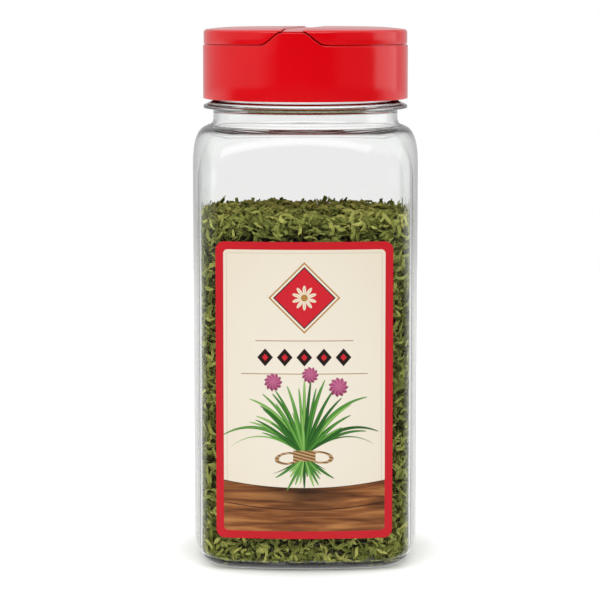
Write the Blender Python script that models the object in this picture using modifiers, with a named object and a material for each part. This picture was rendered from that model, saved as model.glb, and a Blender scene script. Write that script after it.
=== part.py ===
"""A clear square spice jar of dried chopped chives, with a red two-flap screw cap and a front label.

Units are metres and +Z is up. The jar stands on z = 0 with its axis on the Z axis, and its label
faces -Y. The cap is screwed home and stops a few degrees short of square to the label. One flap
covers the shaker holes on the left, the other the spoon opening on the right.
"""

import math
import random

import bmesh
import bpy
import numpy as np
from mathutils import Matrix, Vector

# Jar body: a square with bowed sides and rounded corners, blown in clear PET
BODY_HALF = 0.032
SIDE_BOW_RADIUS = 0.120
CORNER_RADIUS = 0.0075
WALL = 0.0011
SIDE_STEPS = 4
CORNER_STEPS = 6

# Jar base: a rounded heel down to a narrow standing land, pushed up in the middle
HEEL_INSET = 0.0072
HEEL_HEIGHT = 0.0070
HEEL_BLEND = 0.30
LAND_SCALE = 0.94
PUSH_UP = 0.0022
FLOOR_THICKNESS = 0.0024
INNER_HEEL_INSET = 0.0056
INNER_HEEL_HEIGHT = 0.0056
FLOOR_RISE = 0.0016
UNDERSIDE_SCALES = (0.35, 0.65, 0.84, LAND_SCALE)
FLOOR_SCALES = (0.7, 0.35)

# Jar shoulder: it turns the square into the round neck, and starts lower at the corners
SHOULDER_BOTTOM = 0.1115
SHOULDER_TOP = 0.1238
SHOULDER_CORNER_DROP = 0.004
SHOULDER_POWER = 2.8
SHOULDER_CORNER_POWER = 2.3
SHOULDER_WALL = 0.0014

# Jar neck: a support ring, then the wall that carries the thread, up to the lip
NECK_RADIUS = 0.0262
NECK_WALL = 0.0016
RING_BOTTOM = 0.1276
RING_RADIUS = 0.0290
RING_TIP_BOTTOM = 0.1284
RING_TIP_TOP = 0.1292
RING_TOP = 0.1308
FINISH_RADIUS = 0.0253
BORE_RADIUS = 0.0238
LIP_TOP = 0.1438
LIP_ROUND = 0.0003
THREAD_PITCH = 0.0050
THREAD_TURNS = 1.1
THREAD_CREST = 0.02635
THREAD_START = 0.1347
THREAD_HALF_ROOT = 0.0013
THREAD_HALF_CREST = 0.0005
THREAD_STEPS = 40
THREAD_RUN_OUT = 12
THREAD_SINK = 0.0005

# Chives: a loose fill inside the jar, a core that chopped flakes stand out of
CORE_INSET = 0.0040
CORE_BLEND = 0.12
CORE_BOTTOM_SCALE = 0.80
CORE_CROWN_SCALES = (0.95, 0.8, 0.62, 0.42, 0.2)
CORE_CROWN_DROP = 0.004
FILL_GAP = 0.0005
FILL_TOP = 0.0984
FILL_TOP_FALL = 0.0016
CORE_BUMP = 0.0009
CORE_POINTS = 32
CORE_LEVELS = 14
SIDE_FLAKES = 250
TOP_FLAKES = 52
TRIES = 14
FLAKE_LENGTH = (0.0100, 0.0145)
FLAKE_WIDTH = (0.0042, 0.0062)
FLAKE_HEIGHT = (0.0010, 0.0018)
FLAKE_SINK = 0.0007
FLAKE_REACH = 0.0298
FLAKE_LOWEST = 0.0056
FLAKE_HIGHEST = 0.1014
SIDE_TILT = 0.16
TOP_TILT = 0.3
TOP_SPREAD = 0.0245
FLAKE_SEED = 12

# Label: a thin sticker that follows the bow of the front side
LABEL_WIDTH = 0.0489
LABEL_BOTTOM = 0.0101
LABEL_TOP = 0.0929
LABEL_CENTRE_X = -0.00035
LABEL_CORNER = 0.0024
LABEL_GAP = 0.00025
LABEL_THICKNESS = 0.0003
LABEL_STEPS = 12
LABEL_CORNER_STEPS = 6

# Cap base: a smooth skirt under a deck, with a bar front to back and a riser at each end of it
CAP_RADIUS = 0.0291
CAP_BOTTOM = 0.1315
CAP_WALL = 0.0013
CAP_TURN = math.radians(-7.6)
CAP_EDGE = 0.0003
CAP_STEPS = 60
DECK_TOP = 0.1461
DECK_THICKNESS = 0.0014
CAP_TOP = 0.1514
BAR_HALF = 0.00285
BAR_TOP = 0.1510
RISER_HALF_BOTTOM = 0.0081
RISER_HALF_TOP = 0.0037
RISER_TOP = 0.1498
RISER_INNER = 0.0267
RISER_SINK = 0.0006
CAP_THREAD_CREST = 0.02675
CAP_THREAD_START = 0.1334

# Deck openings: shaker holes on the left half, a spoon opening on the right half
HOLE_RADIUS = 0.0033
HOLE_SIDES = 16
HOLE_PLACES = (
    (-0.0085, 0.0),
    (-0.0085, 0.0105),
    (-0.0085, -0.0105),
    (-0.0170, 0.0052),
    (-0.0170, -0.0052),
)
SPOON_RADIUS = 0.0215
SPOON_EDGE_X = 0.0062
SPOON_STEPS = 24
CUTTER_DEPTH = 0.005
CUTTER_BELOW = 0.003
CUTTER_SIDE_REACH = 0.002

# Flaps: two half-round lids, each hinged along the bar at its top surface
FLAP_RADIUS = 0.0289
FLAP_BOTTOM = 0.1464
FLAP_WALL = 0.0013
FLAP_CROWN_RADIUS = 0.0205
FLAP_SHOULDER_DROP = 0.0008
FLAP_MIDDLE_DROP = 0.00024
FLAP_CORNER = 0.0010
FLAP_RISER_GAP = 0.0003
HINGE_X = 0.00315
HINGE_Z = 0.1511
RIB_OUT = 0.0009
RIB_WALL = 0.0008
RIB_GAP = 0.0003
RIB_STEPS = 20
RIB_INTO_FLAP = 0.0005

SIDE_ARC_BACK = SIDE_BOW_RADIUS - BODY_HALF
CORNER_REACH = SIDE_BOW_RADIUS - CORNER_RADIUS
CORNER_CENTRE = 0.5 * (math.sqrt(2 * CORNER_REACH**2 - SIDE_ARC_BACK**2) - SIDE_ARC_BACK)
SIDE_ANGLE = math.asin(CORNER_CENTRE / CORNER_REACH)
HEEL_CIRCLE = BODY_HALF - HEEL_INSET / HEEL_BLEND


def clear_scene():
    for obj in list(bpy.data.objects):
        bpy.data.objects.remove(obj, do_unlink=True)


def new_collection(name, helper=False):
    collection = bpy.data.collections.new(name)
    collection.hide_render = helper
    bpy.context.scene.collection.children.link(collection)
    return collection


def material(name, colour, roughness, alpha=1.0, transmission=0.0):
    """A Principled material with the part's colour, roughness and clearness."""
    result = bpy.data.materials.new(name)
    result.use_nodes = True
    shader = result.node_tree.nodes["Principled BSDF"]
    shader.inputs["Base Color"].default_value = (*colour, 1.0)
    shader.inputs["Roughness"].default_value = roughness
    shader.inputs["Metallic"].default_value = 0.0
    shader.inputs["Alpha"].default_value = alpha
    shader.inputs["Transmission Weight"].default_value = transmission
    result.diffuse_color = (*colour, alpha)
    return result


def add_object(name, mesh, collection, finish=None):
    obj = bpy.data.objects.new(name, mesh)
    collection.objects.link(obj)
    if finish:
        mesh.materials.append(finish)
    if collection.hide_render:
        obj.hide_render = True
        obj.display_type = "WIRE"
    return obj


def loft_mesh(name, rings):
    """A closed mesh through rings of points, each (n, 3). A ring of one point is a pole, and an
    end ring of more points is capped with one face."""
    bm = bmesh.new()
    rows = [[bm.verts.new(point) for point in ring] for ring in rings]
    for lower, upper in zip(rows, rows[1:]):
        count = max(len(lower), len(upper))
        for i in range(count):
            j = (i + 1) % count
            corners = [lower[i % len(lower)], lower[j % len(lower)]]
            corners += [upper[j % len(upper)], upper[i % len(upper)]]
            bm.faces.new(list(dict.fromkeys(corners)))
    for row in (rows[0], rows[-1]):
        if len(row) > 1:
            bm.faces.new(row)
    bmesh.ops.recalc_face_normals(bm, faces=bm.faces)
    mesh = bpy.data.meshes.new(name)
    bm.to_mesh(mesh)
    bm.free()
    return mesh


def prism_mesh(name, outline, sweep):
    """A flat outline of points, swept by a vector."""
    near = np.array(outline)
    return loft_mesh(name, [near, near + np.array(sweep)])


def upright_prism(name, plan, bottom, height, collection):
    """An outline of (x, y) points, raised from one height by another."""
    outline = [(x, y, bottom) for x, y in plan]
    return add_object(name, prism_mesh(name, outline, (0, 0, height)), collection)


def strip_plan(left, right, reach):
    """A long rectangle from front to back, seen from above."""
    return ((left, -reach), (right, -reach), (right, reach), (left, reach))


def turned_object(name, profile, steps, collection, finish=None):
    """A profile of (radius, z) points, from the axis over the outer side and back to the axis,
    turned about Z."""
    mesh = bpy.data.meshes.new(name)
    points = [(radius, 0.0, z) for radius, z in profile]
    edges = [(i, i + 1) for i in range(len(points) - 1)]
    mesh.from_pydata(points, edges, [])
    obj = add_object(name, mesh, collection, finish)
    screw = obj.modifiers.new("turn", "SCREW")
    screw.steps = steps
    screw.render_steps = steps
    screw.use_merge_vertices = True
    screw.merge_threshold = 0.00001
    return obj


def boolean(obj, other, operation):
    modifier = obj.modifiers.new(f"{operation.lower()} {other.name}", "BOOLEAN")
    modifier.object = other
    modifier.operation = operation
    return modifier


def bake(obj):
    """Replaces the object's mesh by what its modifiers make of it."""
    bpy.context.view_layer.update()
    graph = bpy.context.evaluated_depsgraph_get()
    mesh = bpy.data.meshes.new_from_object(obj.evaluated_get(graph))
    obj.modifiers.clear()
    obj.data = mesh


def keep_largest_shell(mesh):
    """Fills the hollows that the joined flakes close off, and drops what came loose."""
    bm = bmesh.new()
    bm.from_mesh(mesh)
    left = set(bm.verts)
    shells = []
    while left:
        shell, edge = set(), {left.pop()}
        while edge:
            shell |= edge
            edge = {e.other_vert(v) for v in edge for e in v.link_edges} - shell
        left -= shell
        shells.append(shell)
    largest = max(shells, key=len)
    bmesh.ops.delete(bm, geom=[v for v in bm.verts if v not in largest], context="VERTS")
    bm.to_mesh(mesh)
    bm.free()


def smooth(obj, degrees=35):
    obj.data.shade_smooth()
    obj.data.set_sharp_from_angle(angle=math.radians(degrees))


def ring_angles():
    """The directions, round the ring, in which its points face: a few along each bowed side and
    more round each corner."""
    side = np.linspace(-SIDE_ANGLE, SIDE_ANGLE, SIDE_STEPS + 1)[:-1]
    corner = np.linspace(SIDE_ANGLE, math.pi / 2 - SIDE_ANGLE, CORNER_STEPS + 1)[:-1]
    quarter = np.concatenate([side, corner])
    return np.concatenate([quarter + turn * math.pi / 2 for turn in range(4)])


RING_ANGLES = ring_angles()
RING_FACING = np.stack([np.cos(RING_ANGLES), np.sin(RING_ANGLES)], axis=1)


def body_ring(inset):
    """The body's outline, moved in by inset: each point lies on the arc of its side or corner, at
    the place where that arc faces the point's own direction."""
    quarter_turn = math.pi / 2
    turns = np.round(RING_ANGLES / quarter_turn)
    from_side = RING_ANGLES - turns * quarter_turn
    on_side = np.abs(from_side) <= SIDE_ANGLE * 1.0001
    side_facing = np.stack([np.cos(turns * quarter_turn), np.sin(turns * quarter_turn)], axis=1)
    side = -SIDE_ARC_BACK * side_facing + (SIDE_BOW_RADIUS - inset) * RING_FACING
    corner = CORNER_CENTRE * np.sign(RING_FACING) + (CORNER_RADIUS - inset) * RING_FACING
    return np.where(on_side[:, None], side, corner)


def blended_ring(inset, radius, blend):
    """Between the body's outline at blend 0 and a circle of the radius at blend 1."""
    return (1 - blend) * body_ring(inset) + blend * radius * RING_FACING


def at_height(ring, z):
    return np.column_stack([ring, np.broadcast_to(z, len(ring))])


def circle(radius, z):
    return at_height(radius * RING_FACING, z)


def pole(z):
    return np.array([[0.0, 0.0, z]])


def heel_rings(inset, height, blend, wall, floor, steps):
    """The rounded heel, from the standing ring up to the wall: a quarter ellipse in section."""
    radius = BODY_HALF - wall - inset / blend
    for angle in np.linspace(0.0, math.pi / 2, steps + 1):
        share = blend * (1 - math.sin(angle))
        z = floor + height * (1 - math.cos(angle))
        yield at_height(blended_ring(wall, radius, share), z)


def shoulder_rings(inset, neck_radius, bottom, top, steps):
    """The shoulder, from the body's wall up to the neck: in section a quarter of a rounded arch,
    lower and rounder towards the corners."""
    outline = body_ring(inset)
    reach = np.hypot(outline[:, 0], outline[:, 1])
    cornering = (reach - reach.min()) / (reach.max() - reach.min())
    start = bottom - SHOULDER_CORNER_DROP * cornering**2
    power = SHOULDER_POWER + (SHOULDER_CORNER_POWER - SHOULDER_POWER) * cornering
    for angle in np.linspace(0.0, math.pi / 2, steps + 1):
        inward = 1 - math.cos(angle) ** (2 / power)
        z = start + (top - start) * math.sin(angle) ** (2 / power)
        ring = outline * (1 - inward)[:, None] + neck_radius * RING_FACING * inward[:, None]
        yield at_height(ring, z)


def helical_ridge(name, root, crest, start, collection):
    """A thread ridge: a trapezoid carried along a helix, sinking into its wall at both ends."""
    rings = []
    for share in np.linspace(0.0, 1.0, THREAD_STEPS + 1):
        angle = share * THREAD_TURNS * 2 * math.pi
        z = start + share * THREAD_TURNS * THREAD_PITCH
        lift = min(1.0, THREAD_RUN_OUT * min(share, 1 - share) + 0.05)
        top = root + (crest - root) * lift
        wide, narrow = THREAD_HALF_ROOT, THREAD_HALF_CREST
        section = ((root, -wide), (top, -narrow), (top, narrow), (root, wide))
        facing = (math.cos(angle), math.sin(angle))
        rings.append([(r * facing[0], r * facing[1], z + dz) for r, dz in section])
    return add_object(name, loft_mesh(name, np.array(rings)), collection)


def make_jar(parts, cutters):
    """One blown body: the outer surface from under the base up to the lip, then the inner one
    down to the floor."""
    standing = blended_ring(0.0, HEEL_CIRCLE, HEEL_BLEND)
    rings = [pole(PUSH_UP)]
    for scale in UNDERSIDE_SCALES:
        rings.append(at_height(standing * scale, PUSH_UP * (1 - (scale / LAND_SCALE) ** 2)))
    rings += heel_rings(HEEL_INSET, HEEL_HEIGHT, HEEL_BLEND, 0.0, 0.0, 5)
    rings += shoulder_rings(0.0, NECK_RADIUS, SHOULDER_BOTTOM, SHOULDER_TOP, 8)
    rings += [
        circle(NECK_RADIUS, RING_BOTTOM),
        circle(RING_RADIUS, RING_TIP_BOTTOM),
        circle(RING_RADIUS, RING_TIP_TOP),
        circle(FINISH_RADIUS, RING_TOP),
        circle(FINISH_RADIUS, LIP_TOP - LIP_ROUND),
        circle(FINISH_RADIUS - LIP_ROUND, LIP_TOP),
        circle(BORE_RADIUS + LIP_ROUND, LIP_TOP),
        circle(BORE_RADIUS, LIP_TOP - LIP_ROUND),
        circle(BORE_RADIUS, RING_TIP_BOTTOM),
    ]
    inner_top = SHOULDER_TOP - SHOULDER_WALL
    inner_neck = NECK_RADIUS - NECK_WALL
    inner = list(shoulder_rings(WALL, inner_neck, SHOULDER_BOTTOM - WALL, inner_top, 6))
    rings += reversed(inner)
    inner_heel = (INNER_HEEL_INSET, INNER_HEEL_HEIGHT, HEEL_BLEND, WALL, FLOOR_THICKNESS, 4)
    rings += reversed(list(heel_rings(*inner_heel)))
    floor = rings[-1][:, :2]
    for scale in FLOOR_SCALES:
        rings.append(at_height(floor * scale, FLOOR_THICKNESS + FLOOR_RISE * (1 - scale**2)))
    rings.append(pole(FLOOR_THICKNESS + FLOOR_RISE))
    finish = material("clear_pet", (0.93, 0.95, 0.95), 0.05, alpha=0.3, transmission=1.0)
    jar = add_object("jar", loft_mesh("jar", rings), parts, finish)
    root = FINISH_RADIUS - THREAD_SINK
    boolean(jar, helical_ridge("jar_thread", root, THREAD_CREST, THREAD_START, cutters), "UNION")
    bake(jar)
    smooth(jar)
    return jar


def floor_height(x, y):
    """The height of the jar's inner floor, which rises towards the middle."""
    across = np.hypot(x, y) / (BODY_HALF - WALL - INNER_HEEL_INSET)
    return FLOOR_THICKNESS + FLOOR_RISE * np.clip(1 - across**2, 0.0, 1.0)


def fill_height(x, y):
    """The height of the core's top, slightly crowned."""
    return FILL_TOP - FILL_TOP_FALL * (x**2 + y**2) / BODY_HALF**2


def evenly_spaced(ring, count):
    """The same outline through fewer points, evenly spaced along it."""
    closed = np.vstack([ring, ring[:1]])
    along = np.concatenate([[0.0], np.cumsum(np.linalg.norm(np.diff(closed, axis=0), axis=1))])
    stations = np.linspace(0.0, along[-1], count, endpoint=False)
    return np.column_stack([np.interp(stations, along, closed[:, axis]) for axis in (0, 1)])


def core_rings(rng):
    """The core of the fill, a rounded block with a rough skin of facets as large as flakes."""
    outline = blended_ring(CORE_INSET, BODY_HALF - CORE_INSET, CORE_BLEND)
    outline = evenly_spaced(outline, CORE_POINTS)
    bottom = outline * CORE_BOTTOM_SCALE
    lowest = floor_height(bottom[:, 0], bottom[:, 1]) + FILL_GAP
    rings = [pole(float(floor_height(0.0, 0.0)) + FILL_GAP), at_height(bottom, lowest)]
    lowest, highest = INNER_HEEL_HEIGHT + FLOOR_THICKNESS, FILL_TOP - CORE_CROWN_DROP
    for z in np.linspace(lowest, highest, CORE_LEVELS):
        bump = 1 + np.array([rng.uniform(-1, 1) for _ in outline]) * CORE_BUMP / BODY_HALF
        rings.append(at_height(outline * bump[:, None], z))
    for scale in CORE_CROWN_SCALES:
        ring = outline * scale
        bump = np.array([rng.uniform(-1, 1) for _ in ring]) * CORE_BUMP
        rings.append(at_height(ring, fill_height(ring[:, 0], ring[:, 1]) + bump))
    rings.append(pole(FILL_TOP))
    return rings


def flake_mesh(name, rng, centre, along, across, up, reach):
    """One chopped flake: a sliver with a ridge from tip to tip, its flanks sunk into the core and
    its corners held inside the jar."""
    half = 0.5 * rng.uniform(*FLAKE_LENGTH)
    side = 0.5 * rng.uniform(*FLAKE_WIDTH)
    height = rng.uniform(*FLAKE_HEIGHT)
    tips = [centre + along * end * half + up * height for end in (-1, 1)]
    flanks = [centre + across * end * side - up * FLAKE_SINK for end in (-1, 1)]
    points = np.array(tips + flanks)
    out = np.hypot(points[:, 0], points[:, 1])
    limit = np.interp(np.arctan2(points[:, 1], points[:, 0]), *reach, period=2 * math.pi)
    points[:, :2] *= np.minimum(1.0, limit / out)[:, None]
    points[:, 2] = np.clip(points[:, 2], FLAKE_LOWEST, FLAKE_HIGHEST)
    return hull_mesh(name, points)


def hull_mesh(name, points):
    """The closed convex solid round a few points."""
    bm = bmesh.new()
    for point in points:
        bm.verts.new(point)
    bmesh.ops.convex_hull(bm, input=bm.verts)
    bmesh.ops.recalc_face_normals(bm, faces=bm.faces)
    mesh = bpy.data.meshes.new(name)
    bm.to_mesh(mesh)
    bm.free()
    return mesh


def spread_out(draw, count):
    """Random places kept apart: each is the one of a few draws that lies furthest from the rest."""
    places = [draw()]
    while len(places) < count:
        tries = [draw() for _ in range(TRIES)]
        taken = np.array([place[0] for place in places])
        gaps = [np.linalg.norm(taken - np.array(attempt[0]), axis=1).min() for attempt in tries]
        places.append(tries[int(np.argmax(gaps))])
    return places


def make_chives(parts, cutters):
    """The dried chives: flakes laid at random over the sides and top of a core, in one body."""
    rng = random.Random(FLAKE_SEED)
    finish = material("dried_chive", (0.16, 0.19, 0.06), 0.85)
    chives = add_object("chives", loft_mesh("chives", core_rings(rng)), parts, finish)
    flakes = bpy.data.collections.new("flakes")
    cutters.children.link(flakes)
    outline = blended_ring(CORE_INSET, BODY_HALF - CORE_INSET, CORE_BLEND)
    skin = blended_ring(BODY_HALF - FLAKE_REACH, FLAKE_REACH, CORE_BLEND)
    reach = (np.arctan2(skin[:, 1], skin[:, 0]), np.hypot(skin[:, 0], skin[:, 1]))
    steps = np.linalg.norm(np.roll(outline, -1, axis=0) - outline, axis=1)
    vertical = Vector((0, 0, 1))
    lowest, highest = INNER_HEEL_HEIGHT + FLOOR_THICKNESS, FILL_TOP - CORE_CROWN_DROP

    def draw_side():
        place = rng.choices(range(len(outline)), weights=steps)[0]
        near = Vector(outline[place])
        far = Vector(outline[(place + 1) % len(outline)])
        flat = near.lerp(far, rng.random())
        facing = Vector((far.y - near.y, near.x - far.x, 0)).normalized()
        return Vector((flat.x, flat.y, rng.uniform(lowest, highest))), facing

    def draw_top():
        x, y = rng.uniform(-TOP_SPREAD, TOP_SPREAD), rng.uniform(-TOP_SPREAD, TOP_SPREAD)
        return Vector((x, y, float(fill_height(x, y)))), vertical

    for number, (centre, facing) in enumerate(spread_out(draw_side, SIDE_FLAKES)):
        sideways = vertical.cross(facing)
        angle = rng.uniform(0, math.pi)
        tilt = rng.uniform(-SIDE_TILT, SIDE_TILT)
        along = (sideways * math.cos(angle) + vertical * math.sin(angle) + facing * tilt).normalized()
        across = facing.cross(along).normalized()
        shape = flake_mesh("flake", rng, centre, along, across, along.cross(across), reach)
        add_object(f"flake_{number}", shape, flakes)
    for number, (centre, facing) in enumerate(spread_out(draw_top, TOP_FLAKES)):
        angle = rng.uniform(0, math.pi)
        tilt = rng.uniform(-TOP_TILT, TOP_TILT)
        along = Vector((math.cos(angle), math.sin(angle), tilt)).normalized()
        across = facing.cross(along).normalized()
        shape = flake_mesh("flake", rng, centre, along, across, along.cross(across), reach)
        add_object(f"top_flake_{number}", shape, flakes)
    union = chives.modifiers.new("flakes", "BOOLEAN")
    union.operand_type = "COLLECTION"
    union.collection = flakes
    union.operation = "UNION"
    union.solver = "MANIFOLD"
    bake(chives)
    keep_largest_shell(chives.data)
    for flake in list(flakes.objects):
        bpy.data.objects.remove(flake, do_unlink=True)
    return chives


def front_surface(x, out):
    """Where the front side's bowed surface, moved out by out, lies at this x."""
    junction = SIDE_BOW_RADIUS * math.sin(SIDE_ANGLE)
    side = SIDE_ARC_BACK - np.sqrt((SIDE_BOW_RADIUS + out) ** 2 - x**2)
    beyond = np.clip(np.abs(x) - CORNER_CENTRE, 0.0, CORNER_RADIUS)
    corner = -CORNER_CENTRE - np.sqrt((CORNER_RADIUS + out) ** 2 - beyond**2)
    return np.where(np.abs(x) <= junction, side, corner)


def make_label(parts):
    """A sheet with rounded corners, carried across the front as upright rectangles."""
    half = LABEL_WIDTH / 2
    turn = np.linspace(0.0, math.pi / 2, LABEL_CORNER_STEPS)
    end = LABEL_CORNER * (1 - np.cos(turn))
    middle = np.linspace(LABEL_CORNER, LABEL_WIDTH - LABEL_CORNER, LABEL_STEPS + 1)[1:-1]
    across = np.concatenate([end, middle, LABEL_WIDTH - end[::-1]])
    from_edge = np.minimum(across, LABEL_WIDTH - across)
    into = np.clip(LABEL_CORNER - from_edge, 0.0, LABEL_CORNER)
    cut = LABEL_CORNER - np.sqrt(LABEL_CORNER**2 - into**2)
    rings = []
    for s, dz in zip(across, cut):
        x = LABEL_CENTRE_X - half + s
        back = float(front_surface(x, LABEL_GAP))
        face = float(front_surface(x, LABEL_GAP + LABEL_THICKNESS))
        low, high = LABEL_BOTTOM + dz, LABEL_TOP - dz
        rings.append([(x, back, low), (x, face, low), (x, face, high), (x, back, high)])
    finish = material("printed_film", (0.82, 0.76, 0.62), 0.35)
    return add_object("label", loft_mesh("label", np.array(rings)), parts, finish)


def riser_outline(gap):
    """The riser's trapezoid seen from the front, grown by a gap."""
    low = DECK_TOP - RISER_SINK - gap
    top = RISER_TOP + gap
    slope = (RISER_HALF_BOTTOM - RISER_HALF_TOP) / (RISER_TOP - DECK_TOP)
    wide = RISER_HALF_BOTTOM + slope * RISER_SINK + gap * 2
    narrow = RISER_HALF_TOP + gap
    return ((-wide, low), (wide, low), (narrow, top), (-narrow, top))


def riser_object(name, end, gap, cutters):
    """A riser, or the space that the flaps leave for it, at the front or back end of the bar."""
    start = end * (RISER_INNER - gap)
    depth = end * (CAP_RADIUS + CUTTER_SIDE_REACH) - start
    outline = [(u, start, v) for u, v in riser_outline(gap)]
    return add_object(name, prism_mesh(name, outline, (0, depth, 0)), cutters)


def crown_profile(radius, shrink):
    """The cap's top from the axis outwards: flat, a gentle fall, then a rounded corner."""
    edge = radius - FLAP_CORNER
    fall = CAP_TOP - FLAP_SHOULDER_DROP - shrink
    points = [(0.0, CAP_TOP - shrink), (FLAP_CROWN_RADIUS, CAP_TOP - shrink)]
    middle = 0.5 * (FLAP_CROWN_RADIUS + edge)
    points.append((middle, CAP_TOP - shrink - FLAP_MIDDLE_DROP))
    for angle in np.linspace(math.pi / 2, 0.0, 4):
        out = FLAP_CORNER * math.cos(angle)
        points.append((edge + out, fall - FLAP_CORNER * (1 - math.sin(angle))))
    return points


def make_cap_base(parts, cutters, turn):
    """The base of the cap: skirt, deck, bar and risers in one moulding, with its thread inside."""
    finish = material("red_polypropylene", (0.70, 0.008, 0.02), 0.28)
    inner = CAP_RADIUS - CAP_WALL
    under = DECK_TOP - DECK_THICKNESS
    profile = [
        (0.0, DECK_TOP),
        (CAP_RADIUS - CAP_EDGE, DECK_TOP),
        (CAP_RADIUS, DECK_TOP - CAP_EDGE),
        (CAP_RADIUS, CAP_BOTTOM + CAP_EDGE),
        (CAP_RADIUS - CAP_EDGE, CAP_BOTTOM),
        (inner, CAP_BOTTOM),
        (inner, under),
        (0.0, under),
    ]
    base = turned_object("cap_base", profile, CAP_STEPS, parts, finish)
    envelope_profile = crown_profile(CAP_RADIUS, CAP_TOP - BAR_TOP)
    envelope_profile += [(CAP_RADIUS, under), (0.0, under)]
    envelope = turned_object("cap_envelope", envelope_profile, CAP_STEPS, cutters)
    foot = DECK_TOP - RISER_SINK
    plan = strip_plan(-BAR_HALF, BAR_HALF, CAP_RADIUS + CUTTER_SIDE_REACH)
    bar = upright_prism("bar", plan, foot, CAP_TOP - foot, cutters)
    boolean(bar, riser_object("riser_front", -1, 0.0, cutters), "UNION")
    boolean(bar, riser_object("riser_back", 1, 0.0, cutters), "UNION")
    boolean(bar, envelope, "INTERSECT")
    boolean(base, bar, "UNION")
    root = inner + THREAD_SINK
    thread = helical_ridge("cap_thread", root, CAP_THREAD_CREST, CAP_THREAD_START, cutters)
    boolean(base, thread, "UNION")
    below = DECK_TOP - CUTTER_BELOW
    angles = np.linspace(0, 2 * math.pi, HOLE_SIDES + 1)[:-1]
    for number, (x, y) in enumerate(HOLE_PLACES):
        plan = [(x + HOLE_RADIUS * math.cos(a), y + HOLE_RADIUS * math.sin(a)) for a in angles]
        hole = upright_prism(f"hole_{number + 1}", plan, below, CUTTER_DEPTH, cutters)
        boolean(base, hole, "DIFFERENCE")
    plan = half_moon(SPOON_RADIUS, SPOON_EDGE_X, SPOON_STEPS)
    spoon = upright_prism("spoon_opening", plan, below, CUTTER_DEPTH, cutters)
    boolean(base, spoon, "DIFFERENCE")
    bake(base)
    base.parent = turn
    smooth(base)
    return base


def half_moon(radius, edge_x, steps):
    """A half-moon outline: an arc of the radius, closed by a straight edge beside the bar."""
    limit = math.acos(edge_x / radius)
    return [(radius * math.cos(a), radius * math.sin(a)) for a in np.linspace(-limit, limit, steps)]


def make_flap(name, side, parts, cutters, turn, risers):
    """A half-round lid: the outer half of a turned shell, cut back beside the bar and over the
    risers, with a rib under it that closes round the opening."""
    finish = material(f"{name}_polypropylene", (0.72, 0.010, 0.022), 0.26)
    inner = FLAP_RADIUS - FLAP_WALL
    under = CAP_TOP - FLAP_WALL
    profile = crown_profile(FLAP_RADIUS, 0.0)
    profile += [(FLAP_RADIUS, FLAP_BOTTOM), (inner, FLAP_BOTTOM)]
    profile += [(inner, under - FLAP_SHOULDER_DROP), (FLAP_CROWN_RADIUS, under), (0.0, under)]
    flap = turned_object(name, profile, CAP_STEPS, parts, finish)
    wall_plan = half_moon(SPOON_RADIUS + RIB_OUT + RIB_WALL, SPOON_EDGE_X - RIB_OUT - RIB_WALL, RIB_STEPS)
    room_plan = half_moon(SPOON_RADIUS + RIB_OUT, SPOON_EDGE_X - RIB_OUT, RIB_STEPS)
    foot = DECK_TOP + RIB_GAP
    plan = [(side * x, y) for x, y in wall_plan]
    rib = upright_prism(f"{name}_rib", plan, foot, under + RIB_INTO_FLAP - foot, cutters)
    plan = [(side * x, y) for x, y in room_plan]
    room = upright_prism(f"{name}_room", plan, foot - RIB_GAP, under - foot + RIB_GAP, cutters)
    boolean(rib, room, "DIFFERENCE")
    boolean(flap, rib, "UNION")
    reach = CAP_RADIUS + CUTTER_SIDE_REACH
    plan = strip_plan(*sorted((side * HINGE_X, -side * reach)), reach)
    below = FLAP_BOTTOM - CUTTER_BELOW
    other_half = upright_prism(f"{name}_other_half", plan, below, CAP_TOP + CUTTER_BELOW - below, cutters)
    boolean(flap, other_half, "DIFFERENCE")
    for riser in risers:
        boolean(flap, riser, "DIFFERENCE")
    bake(flap)
    pivot = Vector((side * HINGE_X, 0.0, HINGE_Z))
    flap.data.transform(Matrix.Translation(-pivot))
    flap.location = pivot
    flap.parent = turn
    smooth(flap)
    return flap


def main():
    clear_scene()
    parts = new_collection("chive_spice_jar")
    cutters = new_collection("cutters", helper=True)
    make_jar(parts, cutters)
    make_chives(parts, cutters)
    make_label(parts)
    turn = bpy.data.objects.new("cap_turn", None)
    parts.objects.link(turn)
    risers = [riser_object("riser_space_front", -1, FLAP_RISER_GAP, cutters)]
    risers.append(riser_object("riser_space_back", 1, FLAP_RISER_GAP, cutters))
    make_flap("flap_shake", -1, parts, cutters, turn, risers)
    make_flap("flap_spoon", 1, parts, cutters, turn, risers)
    make_cap_base(parts, cutters, turn)
    turn.rotation_euler.z = CAP_TURN


main()
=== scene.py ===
"""A clear square spice jar of dried chopped chives with a red two-flap screw cap, on a white table.

Units are metres and +Z is up. The jar stands on z = 0 with its axis on the Z axis, and its label
faces -Y, towards the camera. The cap stops a few degrees short of square to the label.
"""

import math

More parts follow.
